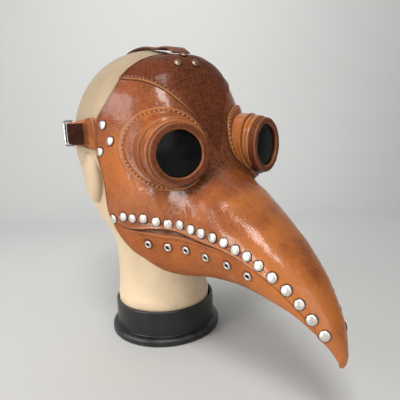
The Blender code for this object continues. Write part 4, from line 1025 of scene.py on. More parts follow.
# ================================================================ goggles
def build_goggles():
    n = 168
    ang = np.arange(n) * 2 * np.pi / n
    ca, sa = np.cos(ang), np.sin(ang)
    # ---- stitched patch round the eye hole
    fr = np.array([0, .02, .06, .14, .24, .34, .44, .54, .62, .68, .73, .78, .83, .88, .92, .95, .975, .99, 1.0])
    r0 = EYE_HOLE_R + 0.05
    rr = r0 + (DISC_R - r0) * fr
    U = rr[:, None] * ca[None] + DISC_SHIFT[0] * fr[:, None]
    V = rr[:, None] * sa[None] + DISC_SHIFT[1] * fr[:, None]
    wob = 0.03 * np.sin(3 * ang + 0.7) + 0.02 * np.sin(5 * ang + 2.0)
    U += (fr[:, None] ** 2) * wob[None] * ca[None]
    V += (fr[:, None] ** 2) * wob[None] * sa[None]
    P, N = seat(U, V)
    rim_d = (DISC_R - r0) * (1 - fr)          # distance in from the outer edge
    top = DISC_LIFT + DISC_T * np.ones(len(fr))
    top += -(0.10 - np.sqrt(np.maximum(.01 - (0.10 - np.clip(rim_d, 0, .10)) ** 2, 0)))
    top += 0.030 * bump(rim_d, 0.12, 0.07) - 0.045 * bump(rim_d, 0.27, 0.06) + 0.015 * bump(rim_d, 0.42, 0.08)
    hi = P + N * (top[:, None, None] + 0.012 * lumps(P, 1.4, 31)[..., None])
    lo = P + N * (DISC_LIFT - 0.075)
    lo[-1] = P[-1] + N[-1] * (DISC_LIFT - 0.085)
    verts = np.vstack([hi.reshape(-1, 3), lo.reshape(-1, 3)])
    m = len(fr)
    faces = grid_faces(m, n, 0, True) + [q[::-1] for q in grid_faces(m, n, m * n, True)]
    for j in range(n):
        b = (j + 1) % n
        faces.append([(m - 1) * n + j, (m - 1) * n + b, m * n + (m - 1) * n + b, m * n + (m - 1) * n + j])
        faces.append([b, j, m * n + j, m * n + b])
    patch = mesh_from("eye_patch_right", verts, faces, mat_disc, 50)
    # painted shade: darker on the inner side towards the bridge and in a ring where the barrel's foot meets the patch
    tone = 0.34 + 0.36 * (0.5 + 0.5 * np.cos(ang - math.radians(205))) ** 1.5
    tone = np.repeat(tone[None], m, 0) + 0.10 * lumps(P, 1.8, 33) + 0.20 * bump(rim_d, 0.65, 0.22)[:, None]
    edge = np.repeat((0.55 * bump(rim_d, 0.06, 0.07))[:, None], n, 1)
    line = np.repeat((0.45 * bump(rim_d, 0.27, 0.05) + 0.7 * bump(rim_d, 0.0, 0.02))[:, None], n, 1)
    both = lambda a: np.concatenate([np.clip(a, 0, 1).ravel()] * 2)
    paint(patch.data, tone=both(tone), edge=both(edge), line=both(line), inside=np.zeros(2 * m * n))
    fix_normals(patch)
    left = mirrored("eye_patch_left", patch, mat_tan)
    place(patch, "tan_leather", "eye_disc_right")
    place(left, "tan_leather", "eye_disc_left")
    # ---- its stitches
    a2 = np.linspace(0, 2 * np.pi, 361)
    f = 1 - 0.27 / (DISC_R - r0)
    r = r0 + (DISC_R - r0) * f
    w2 = 0.03 * np.sin(3 * a2 + 0.7) + 0.02 * np.sin(5 * a2 + 2.0)
    Us = (r + f * f * w2) * np.cos(a2) + DISC_SHIFT[0] * f
    Vs = (r + f * f * w2) * np.sin(a2) + DISC_SHIFT[1] * f
    Ps, Ns = seat(Us, Vs)
    for sgn, tag in ((1, "right"), (-1, "left")):
        M = np.array([sgn, 1, 1.0])
        stitch_row("eye_stitches_" + tag, (Ps + Ns * (DISC_LIFT + DISC_T - 0.03)) * M, Ns * M, 0.40, 0.27, 0.064,
                   mat_thread, "tan_leather")
    # ---- barrel
    nb = 144
    an = np.arange(nb) * 2 * np.pi / nb
    ca, sa = np.cos(an), np.sin(an)
    Pf, Nf = seat((TUBE_R_BASE - .02) * ca, (TUBE_R_BASE - .02) * sa)
    clear = DISC_LIFT + DISC_T + 0.01
    foot = -((Pf - C_R) @ AX_R) - clear / np.maximum(Nf @ AX_R, 0.35)
    Pi, Ni = seat((TUBE_R_BASE - TUBE_WALL) * ca, (TUBE_R_BASE - TUBE_WALL) * sa)
    foot_i = -((Pi - C_R) @ AX_R) - clear / np.maximum(Ni @ AX_R, 0.35)
    topd = RIM_LEN + 0.02
    H = foot - topd                             # barrel length at each angle
    rings, tones, edges, lines = [], [], [], []
    S = np.concatenate([[0, .02, .05, .09], np.linspace(.13, 1.0, 44)])
    collar = 0.60                                # share of the length that the foot collar takes
    for k, s in enumerate(S):                    # s: 0 at the top edge, 1 at the foot
        if k < 4:
            x = np.full(nb, [0, .03, .07, .12][k])
        else:
            x = 0.12 + (H - 0.12) * (s - .09) / .91
        h = H - x
        neck = H * (1 - collar)
        rad = TUBE_R_TOP + 0.11 * np.clip(x / neck, 0, 1)
        # two wound strips above the collar
        for c0 in (0.5,):
            g = neck * c0
            rad = rad - 0.055 * bump(x, g, 0.055) + 0.025 * bump(x, g * .5, g * .35) + 0.025 * bump(x, g * 1.5, g * .35)
        rad = rad - 0.06 * bump(x, neck, 0.06)
        on = smooth(x, neck, neck + 0.07)
        rad = rad * (1 - on) + on * (2.86 + 0.06 * smooth(h, H * .55, 0.0))
        rad = rad + 0.03 * bump(x, neck + 0.12, 0.07) * on
        rad = rad - 0.05 * smooth(h, 0.12, 0.0)
        rad = rad - np.where(x < 0.08, 0.08 - np.sqrt(np.maximum(.0064 - (0.08 - np.clip(x, 0, .08)) ** 2, 0)), 0)
        Q = C_R + np.outer(rad * ca, OUT_R) + np.outer(rad * sa, UP_R) - np.outer(topd + x, AX_R)
        rad = rad + 0.010 * lumps(Q, 1.1, 41) + 0.006 * np.sin(2 * an + 1.0)
        rings.append((rad, topd + x))
        t = 0.10 + 0.55 * (0.5 + 0.5 * np.cos(an - math.radians(300))) ** 2 + 0.10 * lumps(Q, 1.5, 42)
        # painted shade: darker towards the foot where the barrel meets the patch, most on the lower outer side
        t = t + 0.30 * smooth(h, 0.35, 0.0) * (0.5 + 0.5 * np.cos(an - math.radians(300)))
        tones.append(t)
        edges.append(0.35 * bump(x, neck + 0.08, 0.05) + 0.25 * bump(x, 0.05, 0.05))
        lines.append(0.85 * bump(x, neck, 0.045) + 0.65 * bump(x, neck * .5, 0.035) + 0.85 * smooth(h, 0.07, 0.0))
    inner_r = np.full(nb, TUBE_R_TOP - TUBE_WALL)
    rings.append((np.full(nb, TUBE_R_BASE - TUBE_WALL), foot_i))
    tones.append(np.full(nb, .6)); edges.append(np.zeros(nb)); lines.append(np.ones(nb) * .3)
    rings.append((inner_r, np.full(nb, topd)))
    tones.append(np.full(nb, .6)); edges.append(np.zeros(nb)); lines.append(np.ones(nb) * .3)
    barrel, _ = revolve("goggle_barrel_right", C_R, AX_R, OUT_R, UP_R, rings, mat_tan, 50)
    paint(barrel.data, tone=np.clip(np.array(tones), 0, 1), edge=np.clip(np.array(edges), 0, 1),
          line=np.clip(np.array(lines), 0, 1), inside=np.zeros(len(rings) * nb))
    fix_normals(barrel)
    left = mirrored("goggle_barrel_left", barrel, mat_tan)
    place(barrel, "tan_leather", "goggle_tube_right")
    place(left, "tan_leather", "goggle_tube_left")
    # ---- rim
    prof = [(RIM_OPEN + .00, .27), (RIM_OPEN - .01, .16), (RIM_OPEN + .01, .09), (RIM_OPEN + .05, .035),
            (RIM_OPEN + .11, .005), (RIM_OPEN + .18, 0.0), (RIM_OPEN + .26, .012), (RIM_OPEN + .33, .004),
            (RIM_OPEN + .40, .0), (RIM_R - .13, .012), (RIM_R - .08, .035), (RIM_R - .035, .08), (RIM_R - .008, .14),
            (RIM_R + .004, .20), (RIM_R - .004, .27), (RIM_R - .030, .315), (RIM_R - .006, .36), (RIM_R + .01, .44),
            (RIM_R + .005, .54), (RIM_R - .01, RIM_LEN), (LENS_R + GAP, RIM_LEN), (LENS_R + GAP, LENS_SET - .02),
            (RIM_OPEN + .0, LENS_SET - .02)]
    rings, tones, edges, lines = [], [], [], []
    for k, (r, dd) in enumerate(prof):
        wobble = 0.012 * np.sin(4 * an + .4) + 0.010 * np.sin(7 * an + 1.9) if r < RIM_OPEN + .2 else \
            0.006 * np.sin(3 * an + 1.1)
        rr = np.full(nb, r) + wobble
        Q = C_R + np.outer(rr * ca, OUT_R) + np.outer(rr * sa, UP_R) - np.outer(np.full(nb, dd), AX_R)
        dep = np.full(nb, dd) + (0.010 * lumps(Q, .9, 51) if dd < .1 else 0)
        rings.append((rr, dep))
        tones.append(0.42 + 0.35 * np.cos(an - math.radians(250)) * .5 + 0.16 * lumps(Q, 1.2, 52))
        edges.append(np.full(nb, 0.55 if (dd < .10 and (r > RIM_R - .1 or r < RIM_OPEN + .06)) else 0.05))
        lines.append(np.full(nb, 0.7 if abs(dd - .315) < .02 else (0.25 if abs(r - RIM_OPEN - .26) < .01 else 0.0)))
    rim, _ = revolve("goggle_rim_leather_right", C_R, AX_R, OUT_R, UP_R, rings, mat_rim, 50)
    paint(rim.data, tone=np.clip(np.array(tones), 0, 1), edge=np.array(edges), line=np.array(lines),
          inside=np.zeros(len(rings) * nb))
    fix_normals(rim)
    left = mirrored("goggle_rim_leather_left", rim, mat_rim)
    place(rim, "rim_leather", "goggle_rim_right")
    place(left, "rim_leather", "goggle_rim_left")
    # ---- lens, a shallow dome
    verts = [C_R - AX_R * (LENS_SET - 0.10)]
    faces = []
    rr = np.linspace(0, 1, 9)[1:]
    for x in rr:
        dd = LENS_SET - 0.10 * (1 - x * x)
        verts += list(C_R + np.outer(LENS_R * x * ca, OUT_R) + np.outer(LENS_R * x * sa, UP_R) - AX_R * dd)
    verts += list(C_R + np.outer(LENS_R * ca, OUT_R) + np.outer(LENS_R * sa, UP_R) - AX_R * (LENS_SET + LENS_T))
    verts.append(C_R - AX_R * (LENS_SET + LENS_T))
    faces = [[0, 1 + j, 1 + (j + 1) % nb] for j in range(nb)] + grid_faces(9, nb, 1, True)
    e = 1 + 8 * nb
    faces += [[e + (j + 1) % nb, e + j, len(verts) - 1] for j in range(nb)]
    lens = fix_normals(mesh_from("goggle_lens_right", verts, faces, mat_lens, 40))
    left = mirrored("goggle_lens_left", lens, mat_lens)
    place(lens, "lens_dark", "lens_right")
    place(left, "lens_dark", "lens_left")


build_goggles()


# ================================================================ rivets and eyelets
def stud(P, N, r, h, seg=22, squash=0.0, turn=0.0):
    """A domed rivet cap with a rolled skirt."""
    N = N / np.linalg.norm(N)
    u = np.cross(N, (0, 0, 1.0) if abs(N[2]) < 0.9 else (1.0, 0, 0))
    u /= np.linalg.norm(u)
    v = np.cross(N, u)
    prof = [(1.02, -.30), (1.12, -.10), (1.11, .04), (1.03, .05), (1.01, .14), (.985, .28), (.93, .42), (.85, .58),
            (.74, .73), (.58, .86), (.40, .95), (.20, .99)]
    verts, g = [], []
    for k, hh in prof:
        for m in range(seg):
            a = 2 * math.pi * m / seg
            dent = 1.0 - squash * 0.35 * max(0.0, math.cos(a - turn)) * (1 - k * k)
            verts.append(P + N * h * hh * dent + r * k * (u * math.cos(a) + v * math.sin(a)))
            # the skirt is painted dark as the shadow round the cap; the lower dome is half as dark
            g.append(1.0 if hh <= .10 else (0.45 if hh < .3 else 0.0))
    verts.append(P + N * h)
    g.append(0.0)
    faces = grid_faces(len(prof), seg, 0, True)
    t = len(prof) * seg
    faces += [[t - seg + m, t - seg + (m + 1) % seg, t] for m in range(seg)]
    faces.append(list(range(seg))[::-1])
    return verts, faces, g


def gather(name, items, mat, slot_name, *nodes):
    verts, faces, g = [], [], []
    for v, f, gg in items:
        faces += [[i + len(verts) for i in q] for q in f]
        verts += v
        g += gg
    ob = mesh_from(name, verts, faces, mat)
    paint(ob.data, grime=g)
    return place(fix_normals(ob), slot_name, *nodes)


JAW_RIVETS = ((0.38, 106), (0.91, 101), (1.26, 100), (1.64, 99), (2.11, 99), (2.70, 98), (3.29, 94), (3.76, 91),
              (4.20, 88), (4.66, 86), (5.10, 84), (5.58, 83), (6.02, 80), (6.42, 79), (6.85, 79), (7.36, 76),
              (7.87, 75), (8.39, 78), (8.97, 79))
rnd = np.random.RandomState(4)
for side, tag in ((1, "right"), (-1, "left")):
    items = []
    for t, deg in JAW_RIVETS:
        deg = deg + (0.0 if side > 0 else 9.0 * float(smooth(t, 4.5, 6.5)))
        tt, ph = np.array([t]), np.array([math.radians(deg) * side])
        N = FLIP * form_normal(tt, ph)[0]
        N = N + rnd.normal(size=3) * 0.05
        low = 0.0 if side > 0 else float(smooth(t, 5.5, 7.0))
        items.append(stud(offset(tt, ph, np.array([0.035 - 0.05 * low]))[0], N, 0.405 * rnd.uniform(.96, 1.03),
                          0.17 * rnd.uniform(.9, 1.1) * (1 - 0.45 * low),
                          squash=rnd.uniform(0, .8), turn=rnd.uniform(0, 6.28)))
    gather("jaw_rivets_" + tag, items, mat_nickel, "rivet_nickel")
    items = []
    for t, deg in ((.16, 66.0), (.52, 71.0), (.20, 77.5)):
        tt, ph = np.array([t]), np.array([math.radians(deg) * side])
        N = FLIP * form_normal(tt, ph)[0] + rnd.normal(size=3) * 0.04
        items.append(stud(offset(tt, ph, np.array([0.05]))[0], N, 0.40, 0.18, squash=rnd.uniform(0, .6),
                          turn=rnd.uniform(0, 6.28)))
    gather("temple_rivets_" + tag, items, mat_nickel, "rivet_nickel",
           *["temple_rivet_%s_%d" % (tag, k) for k in (1, 2, 3)])
    # vent eyelets: a rolled ring whose throat and foot are painted dark as shade, the rest lightly tarnished
    verts, faces, g = [], [], []
    for t, deg in VENTS:
        tt, ph = np.array([t]), np.array([math.radians(deg) * side])
        N = FLIP * form_normal(tt, ph)[0]
        P = offset(tt, ph, np.array([-JAW_DROP + .02]))[0]
        u = np.cross(N, (0, 0, 1.0))
        u /= np.linalg.norm(u)
        v = np.cross(N, u)
        seg = 24
        prof = [(.150, -.10), (.150, .03), (.165, .085), (.20, .120), (.25, .125), (.30, .105), (.345, .065), (.362, .02),
                (.350, -.03), (.20, -.10)]
        base = len(verts)
        for r, h in prof:
            for m in range(seg):
                a = 2 * math.pi * m / seg
                verts.append(P + N * h + r * (u * math.cos(a) + v * math.sin(a)))
                g.append(1.0 if (r < .16 or h < .03) else 0.15)
        faces += grid_faces(len(prof), seg, base, True, True)
    gather("vent_eyelets_" + tag, [(verts, faces, g)], mat_nickel, "rivet_nickel",
           *["vent_eyelet_%s_%d" % (tag, k) for k in range(1, 7)])
items = []
for k, (t, deg) in enumerate(((0.78, 4.0), (1.13, 14.0), (1.25, 0.0))):
    tt, ph = np.array([t]), np.array([math.radians(deg)])
    N = FLIP * form_normal(tt, ph)[0]
    items.append(stud(offset(tt, ph, np.array([FOREHEAD_RAISE + 0.05]))[0], N, 0.36, 0.17, squash=.5, turn=k * 2.0))
gather("crown_rivets", items, mat_crown_metal, "crown_rivet_metal", "crown_rivet_1", "crown_rivet_2", "crown_rivet_3")


# ================================================================ display head
def skull_section(z):
    ct, st = math.cos(SKULL_TILT), math.sin(SKULL_TILT)
    b2, c2 = SKULL[1] ** 2, SKULL[2] ** 2
    A = ct * ct / b2 + st * st / c2
    h = z - SKULL_C[1]
    B = 2 * h * ct * st * (1 / b2 - 1 / c2)
    C = h * h * (st * st / b2 + ct * ct / c2)
    yc = -B / (2 * A)
    m = max(1 - (C - B * B / (4 * A)), 0.0)
    return SKULL_C[0] + yc, SKULL[0] * math.sqrt(m), math.sqrt(m / A)


_ct, _st = math.cos(SKULL_TILT), math.sin(SKULL_TILT)
HEAD_TOP = SKULL_C[1] + math.sqrt((SKULL[1] * _st) ** 2 + (SKULL[2] * _ct) ** 2)
LOWER = ((NECK_FOOT_Z, 0.0, 4.95, 4.95, 4.95), (4.2, 0.0, 4.98, 4.98, 4.98), (5.2, 0.0, 4.85, 4.85, 4.85),
         (8.0, 0.1, 4.72, 4.7, 4.7), (10.0, 0.1, 4.9, 5.3, 4.8), (11.5, 0.1, 5.45, 6.3, 5.2),
         (13.0, 0.1, 6.3, 7.1, 6.0), (14.5, 0.15, 6.9, 7.6, 7.0), (16.0, 0.2, 7.2, 7.9, 8.0))
JOIN_Z = 17.5
EAR = ((7.1, 0.20, 17.35), (1.0, 1.75, 2.6), 0.12)


def head_level(z):
    def skull(zz):
        yc, a, b = skull_section(zz)
        return (yc, a, b, b)
    if z >= JOIN_Z:
        return skull(z)
    rows = [(zz, y, a, f, b) for zz, y, a, f, b in LOWER]
    for zz in (JOIN_Z, JOIN_Z + 1.0):
        rows.append((zz,) + skull(zz))
    return tuple(float(through([(r[0], r[k]) for r in rows], z)) for k in (1, 2, 3, 4))


def narrow(y):
    f = min(max((-0.6 - y) / 2.2, 0.0), 1.0)
    return 1.0 - 0.055 * f * f * (3 - 2 * f)


def head_point(z, w, lift):
    def p(zz, ww):
        yc, a, f, b = head_level(zz)
        x, y = math.sin(ww), -math.cos(ww)
        py = yc + y * (f if y < 0 else b)
        return np.array([x * a * narrow(py), py, zz])
    e = 1e-3
    zz = min(z, HEAD_TOP - 0.02)
    n = np.cross(p(zz, w + e) - p(zz, w - e), p(zz + e, w) - p(zz - e, w))
    n /= np.linalg.norm(n)
    q = p(zz, w)
    if np.dot(n, q - np.array([0, head_level(zz)[0], min(zz, SKULL_C[1])])) < 0:
        n = -n
    return q + n * lift


def modify(ob, kind, **props):
    m = ob.modifiers.new(kind.lower(), kind)
    for k, v in props.items():
        setattr(m, k, v)
    return m


def bake(ob):
    """Replaces the mesh with what its modifiers make of it."""
    dg = bpy.context.evaluated_depsgraph_get()
    me = bpy.data.meshes.new_from_object(ob.evaluated_get(dg))
    old = ob.data
    ob.modifiers.clear()
    ob.data = me
    bpy.data.meshes.remove(old)
    return ob


def ear_mesh(side, size, moulded, rows, cols):
    """Ear as a rounded shell; the moulded one carries the folded rim and the bowl."""
    c, s, lean = EAR
    rot = np.array(Matrix.Rotation(-lean, 3, 'X') @ Matrix.Rotation(side * 0.25, 3, 'Z'))
    verts = []
    for i in range(rows + 1):
        th = math.pi * i / rows                  # 0 at the outer face, pi at the inner
        for j in range(cols):
            a = 2 * math.pi * j / cols
            r, h = math.sin(th), math.cos(th)
            py, pz = r * math.cos(a), r * math.sin(a)     # py: + to the back
            if h > 0 and moulded:
                dd = math.hypot((py + .20) / .52, (pz - .12) / .60)
                bowl = 1 / (1 + math.exp((dd - 1) * 8))
                fold = math.exp(-((r - .84) / .10) ** 2) * (0.55 + 0.45 * math.cos(a - .9))
                groove = math.exp(-((r - .68) / .075) ** 2) * max(0.0, math.cos(a - .9) * .7 + .3) ** .5
                inner = math.exp(-((r - .50) / .09) ** 2) * max(0.0, math.cos(a - .7))
                h = h * (1 - .55 * bowl) + 0.16 * fold - 0.26 * groove + 0.08 * inner
            lobe = 1.0 - 0.14 * max(0.0, -pz) ** 2
            q = np.array([side * h * s[0], py * s[1] * lobe, pz * s[2]]) * size
            verts.append(tuple(rot @ q + np.array([side * c[0], c[1], c[2]])))
    f = grid_faces(rows + 1, cols, 0, True)
    return verts, (f if side > 0 else [q[::-1] for q in f])


def build_head():
    seg = 96
    zs = list(np.concatenate([[NECK_FOOT_Z, 2.4, 3.4, 3.6], np.linspace(3.7, 5.2, 14), np.linspace(5.5, JOIN_Z, 34)]))
    zs += [JOIN_Z + (HEAD_TOP - JOIN_Z) * math.sin(math.pi / 2 * k) for k in np.linspace(0, 1, 34)[1:-1]] + [HEAD_TOP - .01]
    verts = []
    for z in zs:
        yc, a, f, b = head_level(z)
        # the moulded lip above the collar
        g = 0.045 * math.exp(-((z - 4.25) / .16) ** 2) - 0.05 * math.exp(-((z - 4.62) / .14) ** 2)
        for k in range(seg):
            w = 2 * math.pi * k / seg
            x, y = math.sin(w), -math.cos(w)
            py = yc + y * ((f if y < 0 else b) + g)
            verts.append((x * (a + g) * narrow(py), py, z))
    n = len(zs)
    verts.append((0, head_level(HEAD_TOP - .01)[0], HEAD_TOP))
    faces = grid_faces(n, seg, 0, True)
    faces.append(list(range(seg))[::-1])
    faces += [[(n - 1) * seg + k, (n - 1) * seg + (k + 1) % seg, n * seg] for k in range(seg)]
    for side in (-1, 1):
        v, f = ear_mesh(side, 0.93, False, 24, 40)
        faces += [[i + len(verts) for i in q] for q in f]
        verts += v
    me = bpy.data.meshes.new("head_raw")
    me.from_pydata([tuple(np.array(v) * CM) for v in verts], [], faces)
    ob = link("display_head_cream", me, mat_cream)
    bm = bmesh.new()
    bm.from_mesh(me)
    bmesh.ops.remove_doubles(bm, verts=bm.verts, dist=1e-6)
    bmesh.ops.dissolve_degenerate(bm, edges=bm.edges, dist=1e-6)
    bmesh.ops.recalc_face_normals(bm, faces=bm.faces)
    bm.to_mesh(me)
    bm.free()
    modify(ob, 'REMESH', mode='VOXEL', voxel_size=0.0017, use_smooth_shade=True)
    modify(ob, 'SMOOTH', factor=0.5, iterations=6)
    bake(ob)
    ob.data.materials.clear()
    ob.data.materials.append(mat_cream)
    ob.data.shade_smooth()
    return place(ob, "head_cream", "display_head")


head = build_head()


def build_ear(side, tag):
    v, f = ear_mesh(side, 1.0, True, 80, 120)
    ob = mesh_from("display_ear_" + tag, v, f, mat_cream)
    bm = bmesh.new()
    bm.from_mesh(ob.data)
    bmesh.ops.remove_doubles(bm, verts=bm.verts, dist=1e-6)
    bmesh.ops.dissolve_degenerate(bm, edges=bm.edges, dist=1e-6)
    bm.to_mesh(ob.data)
    bm.free()
    return place(fix_normals(ob), "head_cream")


build_ear(-1, "right")
build_ear(1, "left")


# ================================================================ base
def lathe(name, profile, mat, seg=160):
    P, g = [], []
    for r, z, e in profile:
        a = np.arange(seg) * 2 * np.pi / seg
        P.append(np.stack([r * np.cos(a), r * np.sin(a), np.full(seg, z)], 1))
        g += [e] * seg
    verts = list(np.vstack(P))
    n = len(profile)
    faces = grid_faces(n, seg, 0, True)
    verts.append(np.array([0, 0, profile[0][1]]))
    verts.append(np.array([0, 0, profile[-1][1]]))
    g += [0, 0]
    faces += [[(k + 1) % seg, k, n * seg] for k in range(seg)]
    faces += [[(n - 1) * seg + k, (n - 1) * seg + (k + 1) % seg, n * seg + 1] for k in range(seg)]
    ob = mesh_from(name, verts, faces, mat, 40)
    paint(ob.data, edge=g)
    return fix_normals(ob)


base_profile = [(BASE_FLANGE_R - .12, 0, 0), (BASE_FLANGE_R - .05, .015, 0), (BASE_FLANGE_R - .01, .06, .3), (BASE_FLANGE_R, .12, .2),
                (BASE_FLANGE_R, .42, 0), (BASE_FLANGE_R - .015, .52, .4), (BASE_FLANGE_R - .05, .60, .8),
                (BASE_FLANGE_R - .11, .67, .6), (BASE_FLANGE_R - .19, .73, .3), (BASE_R + .20, .775, 0), (BASE_R + .06, .80, 0),
                (BASE_R + .015, .84, 0), (BASE_R, .92, 0)]
for z in np.linspace(1.1, 3.15, 10):
    base_profile.append((BASE_R, float(z), 0))
base_profile += [(BASE_R, 3.34, 0), (BASE_R - .012, 3.42, .5), (BASE_R - .045, 3.48, 1), (BASE_R - .10, 3.515, .8),
                 (BASE_R - .18, 3.52, .3), (NECK_R + .12, 3.51, .2), (NECK_R + .085, 3.49, .4), (NECK_R + .06, 3.44, 0),
                 (NECK_R + .06, 2.6, 0), (NECK_R + .06, NECK_FOOT_Z - GAP, 0), (3.0, NECK_FOOT_Z - GAP, 0)]
base = place(lathe("base_ring_black", base_profile, mat_black), "base_black", "base")


# ================================================================ straps
def resample(path, step):
    p = np.asarray(path, float)
    n = len(p)
    tt = np.linspace(0, n - 1, (n - 1) * 14 + 1)
    q = spline(p, tt)
    s = np.concatenate([[0], np.cumsum(np.linalg.norm(np.diff(q, axis=0), axis=1))])
    m = max(int(s[-1] / step), 8)
    want = np.linspace(0, s[-1], m + 1)
    return np.stack([np.interp(want, s, q[:, k]) for k in range(q.shape[1])], 1), want


def strap_mesh(name, P, A, N, width, thick, mat, seed, crease=0.02, worn=0.5, ends=0.25):
    """Flat leather strap with rounded edges: P the middle line, A across, N outward."""
    n = len(P)
    k = 15
    prof = []
    across = np.zeros(n) + np.asarray(width, float)
    width = float(np.max(width))
    h, e = thick / 2, min(thick / 2, 0.09)
    for f in np.linspace(-1, 1, k):
        x = f * width / 2
        side = max(0.0, abs(x) - (width / 2 - e))
        prof.append((x, h - e + math.sqrt(max(e * e - side * side, 0)), 0.0 if abs(f) < .8 else 1.0))
    prof = prof + [(x, -y, g) for x, y, g in prof[::-1]]
    m = len(prof)
    verts, tone, edge, line = [], [], [], []
    s = np.concatenate([[0], np.cumsum(np.linalg.norm(np.diff(P, axis=0), axis=1))])
    for i in range(n):
        end = min(s[i], s[-1] - s[i])
        grow = math.sqrt(max(1 - (1 - min(end / 0.08, 1)) ** 2, 0)) * 0.35 + 0.65
        for x, y, g in prof:
            q = P[i] + A[i] * x * across[i] / width
            w = crease * float(lumps(q[None], 0.9, seed)[0]) * 0.5 + crease * 0.6 * float(lumps(q[None], 2.6, seed + 1)[0])
            verts.append(q + N[i] * (y * grow + w) + A[i] * 0.02 * math.sin(s[i] * 1.7 + seed))
            tone.append(0.35 + 0.22 * float(lumps(q[None], 1.2, seed + 2)[0]) + 0.2 * g)
            edge.append(worn * g * (0.5 + 0.5 * float(lumps(q[None], .8, seed + 3)[0])))
            line.append(0.55 * math.exp(-((abs(x) - (width / 2 - .22)) / .035) ** 2) if y > 0 else 0)
    faces = grid_faces(n, m, 0, True)
    faces.append(list(range(m))[::-1])
    faces.append([(n - 1) * m + j for j in range(m)])
    ob = mesh_from(name, verts, faces, mat, 55)
    paint(ob.data, tone=np.clip(tone, 0, 1), edge=np.clip(edge, 0, 1), line=np.clip(line, 0, 1), inside=np.zeros(len(verts)))
    return fix_normals(ob)


def ribbon(name, path, z_mid, width, thick, mat, seed, step=0.10, tilt=None, **kw):
    p, s = resample(path, step)
    t = np.gradient(p, axis=0)
    t /= np.linalg.norm(t, axis=1)[:, None]
    N = np.c_[t[:, 1], -t[:, 0], np.zeros(len(p))]
    A = np.zeros((len(p), 3))
    A[:, 2] = 1.0
    P = np.c_[p, np.full(len(p), z_mid)]
    if callable(width):
        width = width(s)
    return strap_mesh(name, P, A, N, width, thick, mat, seed, **kw)


def arc(cx, cy, r, a0, a1, n):
    return [(cx + r * math.cos(math.radians(a0 + (a1 - a0) * k / n)),
             cy + r * math.sin(math.radians(a0 + (a1 - a0) * k / n))) for k in range(n + 1)]


BAR_R = 0.13
FRONT_BAR, REAR_BAR, BUCKLE_H = (-8.20, 1.15), (-8.45, 3.15), 2.3
LOOP_R = BAR_R + GAP + 0.09 + STRAP_T / 2
tab = [(-7.50, -1.76), (-7.63, -1.25), (-7.98, -0.5), (-8.30, 0.2),
       (FRONT_BAR[0] - LOOP_R, FRONT_BAR[1] - 0.35)]
tab += arc(FRONT_BAR[0], FRONT_BAR[1], LOOP_R, 180, 0, 8)
tab += [(FRONT_BAR[0] + LOOP_R - 0.02, FRONT_BAR[1] - 0.5), (FRONT_BAR[0] + LOOP_R - 0.02, FRONT_BAR[1] - 1.0)]
strap_tab = place(ribbon("strap_tab", tab, STRAP_Z, lambda s: STRAP_W - (STRAP_W - STRAP_W_BAR) * smooth(s, 0.2, 2.6), STRAP_T,
                         mat_strap, 61, 0.07, crease=0.018, worn=.35),
                  "tan_leather", "side_strap_right")


def head_frame(z, w, lift):
    q = head_point(z, w, lift)
    n = head_point(z, w, lift + 1.0) - q
    n /= np.linalg.norm(n)
    return q, n


long_path = []
for k in range(22):
    w = math.radians(100 + (253 - 100) * k / 21)
    q, nn = head_frame(STRAP_Z, w, 0.10 + STRAP_T / 2 + 0.02)
    long_path.append((q[0], q[1]))
start = [(7.50, -1.76), (7.61, -1.25), (7.79, -0.5), (7.84, 0.1)]
w_end = FRONT_BAR[0] - LOOP_R - STRAP_T / 2 - GAP - STRAP_T / 2 - 0.03
tail = [(-7.86, 3.9), (-7.98, 3.2), (-8.12, 2.5), (-8.42, 1.9), (w_end + 0.04, 1.35), (w_end, 0.9),
        (w_end + 0.02, 0.3), (w_end + 0.20, -0.4), (w_end + 0.42, -1.05)]
strap_long = place(ribbon("strap_long", start + long_path + tail, STRAP_Z, 1.92, 0.18, mat_dark, 71, 0.12, crease=0.014),
                   "dark_strap_leather", "side_strap_left")


def rod(points, radius, ref, closed=False, sides=16):
    n = len(points)
    P = [np.array(p, float) for p in points]
    verts = []
    for i in range(n):
        a = P[(i - 1) % n] if (closed or i > 0) else P[i]
        b = P[(i + 1) % n] if (closed or i < n - 1) else P[i]
        t = b - a
        t /= np.linalg.norm(t)
        u = np.cross(t, ref)
        u /= np.linalg.norm(u)
        v = np.cross(u, t)
        r = radius[i] if hasattr(radius, "__len__") else radius
        verts += [P[i] + r * (u * math.cos(2 * math.pi * k / sides) + v * math.sin(2 * math.pi * k / sides))
                  for k in range(sides)]
    faces = grid_faces(n, sides, 0, True, closed)
    if not closed:
        faces.append(list(range(sides))[::-1])
        faces.append([(n - 1) * sides + k for k in range(sides)])
    return verts, faces, [0.0] * len(verts)


_f, _r = np.array([*FRONT_BAR, 0.0]), np.array([*REAR_BAR, 0.0])
_mid, _half = (_f + _r) / 2, np.linalg.norm(_r - _f) / 2
_along, _upv = (_r - _f) / (2 * _half), np.array([0, 0, 1.0])
_ref = np.cross(_along, _upv)
pts = []
cc, hh = 0.26, BUCKLE_H / 2
for sx, sy, a0 in ((1, 1, 0), (-1, 1, 90), (-1, -1, 180), (1, -1, 270)):
    for k in range(9):
        a = math.radians(a0 + 11.25 * k)
        pts.append(_mid + _upv * STRAP_Z + _along * (sx * (_half - cc) + cc * math.cos(a))
                   + _upv * (sy * (hh - cc) + cc * math.sin(a)))
items = [rod(pts, BAR_R, _ref, True)]
buckle = gather("buckle_nickel", items, mat_buckle, "rivet_nickel", "buckle_frame")


